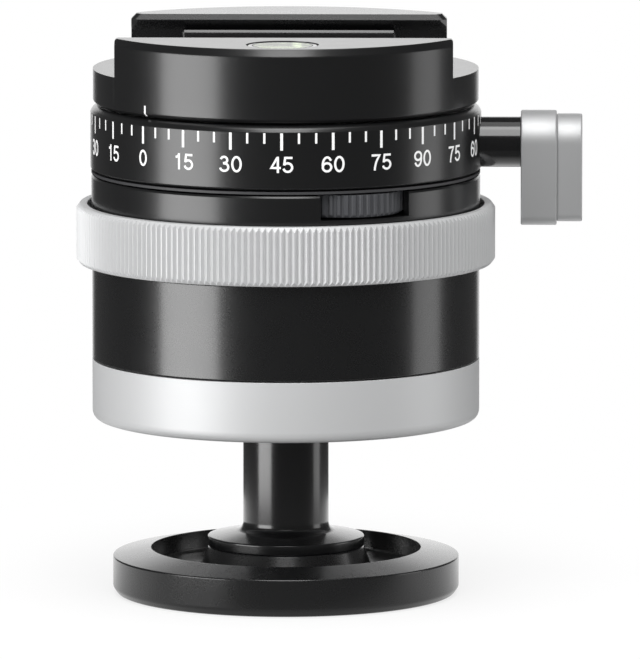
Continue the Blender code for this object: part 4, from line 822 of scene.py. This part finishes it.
def jaw_end(name, side):
    """What is milled away beyond one end of the fixed jaw: a bar along Y that leaves the jaw's
    upper corner rounded, x = E - c (1 - cos b), z = top - c (1 - sin b)."""
    b = np.linspace(0, pi / 2, 7)
    x = np.concatenate([[CLEAR, JAW_END], JAW_END - JAW_CORNER * (1 - np.cos(b)),
                        [JAW_END - JAW_CORNER, CLEAR]])
    z = np.concatenate([[DECK, DECK], TOP - JAW_CORNER * (1 - np.sin(b)), [OVER, OVER]])
    loops = [np.stack([side * x, np.full(len(x), y), z], -1) * MM for y in (-CLEAR, 0)]
    return capped(name, loops, black)


def along_y(loops, x):
    """Upright loops of points laid along Y at the guide rods' level: (x + y', z', level + x')."""
    return [np.roll(loop, -1, 1) + np.array([x, 0, ROD_LEVEL]) * MM for loop in loops]


def rod_bores(name, start, end):
    """Cutters for the bores of the two guide rods."""
    upright = [circle(ROD_BORE, (0, 0, height)) for height in (start, end)]
    return [capped(f"{name}_{i}", along_y(upright, x), black) for i, x in enumerate((-ROD_X, ROD_X))]


disc = turned("clamp_disc_milled", rounded(DISC_OUTLINE, DISC_EDGES, 4), satin)
cutters = [block("cut_deck", (-CLEAR, LIP_Y, DECK), (CLEAR, CLEAR, OVER), black),
           jaw_end("cut_left_end", -1), jaw_end("cut_right_end", 1),
           groove("cut_groove", LIP_Y, -1, DECK),
           block("cut_front_relief", (-JAW_END, -15.4, RELIEF), (JAW_END, -13.1, 91.7), black),
           block("cut_rear_relief", (-CLEAR, 23.7, RELIEF), (CLEAR, CLEAR, OVER), black),
           post("cut_level", 6.2, (0, LEVEL_Y), 93.2, OVER, black, 96),
           post("cut_deck_screw", 2.8, (0, 0), 80, OVER, black),
           post("cut_deck_head", 4.8, (0, 0), 88.1, OVER, black, 96)]
milled(disc, cutters + rod_bores("cut_rod", 14.8, CLEAR), CLAMP_BREAK)
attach(disc, "pan_head")
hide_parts("clamp_disc")


# The index mark on the disc, over the scale's zero at rest, painted like the scale.
points, faces = stroke(0.40, [(85.55, 0.45), (86.0, 0), (87.35, 0)])
index_mark = painted("index_mark", [(points, faces, DISC_SIZE, ZERO_MARK)], paint)
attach(index_mark, "pan_head")


# The bubble level's case: a turned cup, anodised a glossy black, pressed into the fixed jaw's top
# so that it ends just under it.
LEVEL_TOP = 97.88
CASE_OUTLINE = [(0, 94.2), (5.2, 94.2), (5.2, LEVEL_TOP), (5.9, LEVEL_TOP), (5.9, 93.5), (0, 93.5)]
CASE_EDGES = [0, 0.1, 0.05, 0.05, 0.15, 0]


def in_level(name, outline, finish, columns=96, closed=True):
    """A piece of the bubble level: a line (r, z) spun about the level's own upright axis."""
    points = spun(outline, columns)
    points[:, :, 1] += LEVEL_Y * MM
    return piece(name, points, [quads(len(points), columns, (closed, True))], finish)


case_finish = anodised_black("level_case_black", grain=0.2, gloss=0.12)
case = in_level("level_case_turned", rounded(CASE_OUTLINE, CASE_EDGES), case_finish)
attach(case, "pan_head")
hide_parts("level_case")


# The vial: clear acrylic with a green tint, with an air bubble under its top. Below it lie a white
# card and the black ring that the bubble is set to.
ACRYLIC = 1.49


def clear(name, tint, index, rough):
    """A clear solid: light goes through it with a tint, and its shine wanders a little."""
    finish, shader, place = new_finish(name, tint, {"IOR": index, "Transmission Weight": 1.0})
    (speckle(place, 500.0, 1.0) * 0.03 + rough).into(shader, "Roughness")
    return finish


VIAL_OUTLINE = [(0, LEVEL_TOP), (5.1, LEVEL_TOP), (5.1, 94.5), (0, 94.5)]
vial_finish = clear("vial_green", (0.78, 0.92, 0.55), ACRYLIC, 0.01)
vial = in_level("level_vial_turned", rounded(VIAL_OUTLINE, [0, 0.08, 0.2, 0], 5), vial_finish)
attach(vial, "pan_head")
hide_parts("level_vial")

BUBBLE_SIZE, BUBBLE_HALF, BUBBLE_LEVEL = 1.55, 0.28, 97.45
BUBBLE_OUTLINE = [(BUBBLE_SIZE * cos(a), BUBBLE_LEVEL + BUBBLE_HALF * sin(a))
                  for a in np.linspace(pi / 2, -pi / 2, 24)]
bubble_finish = clear("bubble_air", (1.0, 1.0, 1.0), 1 / ACRYLIC, 0.0)
bubble = in_level("level_bubble", np.array(BUBBLE_OUTLINE) * MM, bubble_finish, 64, False)
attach(bubble, "pan_head")

CARD_OUTLINE = [(0, 94.42), (5.0, 94.42), (5.0, 94.25), (0, 94.25)]
card_finish = white_paint("card_white")
card = in_level("level_card", rounded(CARD_OUTLINE, [0, 0.02, 0.02, 0], 3), card_finish)
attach(card, "pan_head")

RING_LINE = [(2.15, 94.47), (2.45, 94.47), (2.45, 94.40), (2.15, 94.40)]
level_line = in_level("level_line", rounded(RING_LINE, [0.02] * 4, 3), black)
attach(level_line, "pan_head")


# The rear jaw: a slice of a larger disc that slides on two rods behind the clamp disc. A skirt
# hangs from it behind the disc, and a fork in its left end takes the clamp lever.
JAW_SIZE, JAW_HALF, JAW_CUT = 39.5, 27.6, 1.1
JAW_FOOT, JAW_CHAMFER = 86.0, 0.9
PIVOT, PIN_BORE = (-21.63, 29.77), 1.5


def jaw_outline(inward):
    """The rear jaw from above, drawn in by a width: straight lip, cut corners, round back."""
    half, size, lip = JAW_HALF - inward, JAW_SIZE - inward, REAR_Y + inward
    end = atan2(sqrt(size ** 2 - half ** 2), half)
    a = np.linspace(end, pi - end, 96)
    x = np.concatenate([[JAW_CUT - half, half - JAW_CUT, half], size * np.cos(a), [-half]])
    y = np.concatenate([[lip, lip, lip + JAW_CUT], size * np.sin(a), [lip + JAW_CUT]])
    return x, y


def stacked(name, outline, levels, finish):
    """A closed piece through an outline seen from above, drawn in by a width at each height."""
    loops = []
    for inward, z in levels:
        x, y = outline(inward)
        loops.append(np.stack([x, y, np.full(len(x), z)], -1) * MM)
    return capped(name, loops, finish)


rear_jaw = stacked("rear_jaw_milled", jaw_outline,
                   [(0, JAW_FOOT), (0, TOP - JAW_CHAMFER), (JAW_CHAMFER, TOP)], black)
cutters = [post("cut_seat", 33.6, (0, 0), 84.0, 91.7, black, 256),
           groove("cut_rear_groove", REAR_Y, 1, 90.7),
           block("cut_fork", (-CLEAR, 26.8, 89.1), (-13.8, 50, 94.9), black),
           post("cut_pin", PIN_BORE, PIVOT, 86.8, 97.2, black)]
milled(rear_jaw, cutters + rod_bores("cut_jaw_rod", 0, 35.8), CLAMP_BREAK)
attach(rear_jaw, "rear_jaw")
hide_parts("rear_jaw")


# The jaw pad: a hard black bar in the groove, with its upper front edge cut away.
PAD_HALF, PAD_BREAK = 18.6, 0.3
PAD_FRONT, PAD_BACK, PAD_LOW, PAD_TOP = 24.7, 25.7, 91.7, 95.2
PAD_CUT = (0.32, 0.55)                    # how far back and how far down its cut edge goes


def pad_loops():
    """Loops across the pad: a rectangle with one cut edge, drawn in at both ends."""
    loops = []
    for x, inward in ((-PAD_HALF, PAD_BREAK), (PAD_BREAK - PAD_HALF, 0), (PAD_HALF - PAD_BREAK, 0),
                      (PAD_HALF, PAD_BREAK)):
        front, top = PAD_FRONT + inward, PAD_TOP - inward
        y = np.array([front, front, front + PAD_CUT[0], PAD_BACK, PAD_BACK])
        z = np.array([PAD_LOW, top - PAD_CUT[1], top, top, PAD_LOW])
        loops.append(np.stack([np.full(5, x), y, z], -1) * MM)
    return loops


pad_finish = anodised_black("pad_black", grain=0.2, gloss=0.08)
pad = capped("jaw_pad_ground", pad_loops(), pad_finish)
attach(pad, "rear_jaw")
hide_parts("jaw_pad")


# The clamp lever: a silver bow behind the rear jaw, on a pin in the jaw's fork.
BOW_OUTER, BOW_INNER = 44.3, 39.8
BOW_TIP, BOW_BOSS = radians(58), radians(126)   # where the tip and the pin's boss stand
BOSS_SIZE = 2.7
BOW_LOW, BOW_TOP, BOW_ROUND = 89.4, 94.6, 0.5


def bow_outline(inward):
    """The lever from above, drawn in by a width: outer arc, boss round the pin, inner arc, tip."""
    outer, inner, boss = BOW_OUTER - inward, BOW_INNER + inward, BOSS_SIZE - inward
    middle, end = (BOW_OUTER + BOW_INNER) / 2, (outer - inner) / 2
    reach = BOSS_SIZE / JAW_SIZE
    a = np.linspace(BOW_TIP, BOW_BOSS - reach, 40)
    b = np.linspace(BOW_BOSS + pi / 4, BOW_BOSS + 5 * pi / 4, 24)
    c = np.linspace(BOW_BOSS - 2 * reach, BOW_TIP, 40)
    d = np.linspace(BOW_TIP - pi, BOW_TIP, 16)[1:-1]
    x = np.concatenate([outer * np.cos(a), PIVOT[0] + boss * np.cos(b), inner * np.cos(c),
                        middle * cos(BOW_TIP) + end * np.cos(d)])
    y = np.concatenate([outer * np.sin(a), PIVOT[1] + boss * np.sin(b), inner * np.sin(c),
                        middle * sin(BOW_TIP) + end * np.sin(d)])
    return x, y


turns = np.linspace(0, pi / 2, 5)
bow_levels = [(BOW_ROUND * (1 - sin(t)), BOW_LOW + BOW_ROUND * (1 - cos(t))) for t in turns]
bow_levels += [(BOW_ROUND * (1 - sin(t)), BOW_TOP - BOW_ROUND * (1 - cos(t))) for t in reversed(turns)]
bow = stacked("clamp_lever_bow", bow_outline, bow_levels, lever_silver)
milled(bow, [post("cut_bow_pin", PIN_BORE, PIVOT, 85.0, OVER, black)], 0)
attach(bow, "clamp_lever")
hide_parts("clamp_lever")


# The tripod bush: turned steel, screwed up into the foot from below, with a 3/8 inch thread of 16
# turns to the inch inside.
THREAD_PITCH, THREAD_START = 1.5875, 0.7
THREAD_CREST, THREAD_ROOT = 4.76, 5.3
THREAD = [(THREAD_CREST if i % 2 else THREAD_ROOT, THREAD_START + i * THREAD_PITCH / 2)
          for i in range(15)]
BUSH_OUTLINE = [(4.85, 13.0), (5.8, 13.0), (5.8, 2.0), (9.0, 2.0), (9.0, 0.0), (THREAD_ROOT, 0.0),
                *THREAD]
BUSH_EDGES = [0.1, 0.15, 0.1, 0.15, 0.3, 0.2, *[0.12] * len(THREAD)]


def turned_metal(name, colour, rough):
    """Bright turned metal: fine tool rings across the axis vary the roughness and the bump."""
    finish, shader, place = new_finish(name, colour, {"Metallic": 1.0})
    rings = Wire.node(place.tree, "TexWave", {"bands_direction": "Z"},
                      {"Vector": place, "Scale": 1300.0, "Distortion": 1.5, "Detail": 2.0})
    (rings * 0.06 + speckle(place, 3000.0) * 0.10 + rough).into(shader, "Roughness")
    raised(shader, rings, 0.12, 0.00001)
    return finish


steel = turned_metal("turned_steel", (0.50, 0.50, 0.52), 0.16)
bush = turned("tripod_bush_turned", rounded(BUSH_OUTLINE, BUSH_EDGES), steel, 128)
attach(bush, "root")
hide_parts("tripod_bush")


# The deck screw: a turned steel cap screw with a hexagon socket, sunk in the clamp's deck.
SCREW_OUTLINE = [(0, 91.0), (4.5, 91.0), (4.5, 88.4), (2.5, 88.4), (2.5, 81.0), (0, 81.0)]
SCREW_EDGES = [0, 0.35, 0.1, 0.15, 0.4, 0]
deck_screw = turned("deck_screw_turned", rounded(SCREW_OUTLINE, SCREW_EDGES, 5), steel, 96)
milled(deck_screw, [post("cut_socket", 2.9, (0, 0), 89.1, 92.0, black, 6)], 0.12)
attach(deck_screw, "pan_head")
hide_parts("deck_screw")


# The guide rods and the clamp lever's pin: ground steel bar with bevelled ends.
def bar(radius, low, high, edge=0.25):
    """An upright round bar at the origin with bevelled ends."""
    levels = [(radius - edge, low), (radius, low + edge), (radius, high - edge), (radius - edge, high)]
    return [circle(r, (0, 0, z)) for r, z in levels]


for i, x in ((1, -ROD_X), (2, ROD_X)):
    rod = capped(f"guide_rod_{i}_ground", along_y(bar(1.5, 13.5, 35.5), x), steel)
    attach(rod, "rear_jaw")
    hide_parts(f"guide_rod_{i}")
pin_loops = [loop + np.array([*PIVOT, 0]) * MM for loop in bar(1.2, 87.1, 96.9)]
pin = capped("clamp_pin_ground", pin_loops, steel)
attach(pin, "rear_jaw")
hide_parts("clamp_pin")


# The pieces that hide inside the head keep the plan's shapes. The other screws, the foot's pin, the
# wheel's axle, the keys and the spindle are turned steel, the cam ring, the nut and the shoe are
# brass, and the seat and the cup round the ball are hard black plastic.
finishes = {"steel": steel,
            "brass": turned_metal("turned_brass", (0.68, 0.50, 0.20), 0.20),
            "plastic": moulded("hard_plastic", (0.022, 0.022, 0.024))}
plain = {"steel": ["foot_pin", "ball_screw", "wheel_axle", "pan_spindle",
                   *[f"neck_screw_{i}" for i in range(1, 5)],
                   *[f"scale_screw_{i}" for i in range(1, 4)],
                   *[f"ring_key_{i}" for i in range(1, 4)]],
         "brass": ["cam_ring", "spindle_nut", "pan_shoe"],
         "plastic": ["lower_seat", "pressure_cup"]}
for kind, names in plain.items():
    for name in names:
        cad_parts[name].material_slots[0].material = finishes[kind]
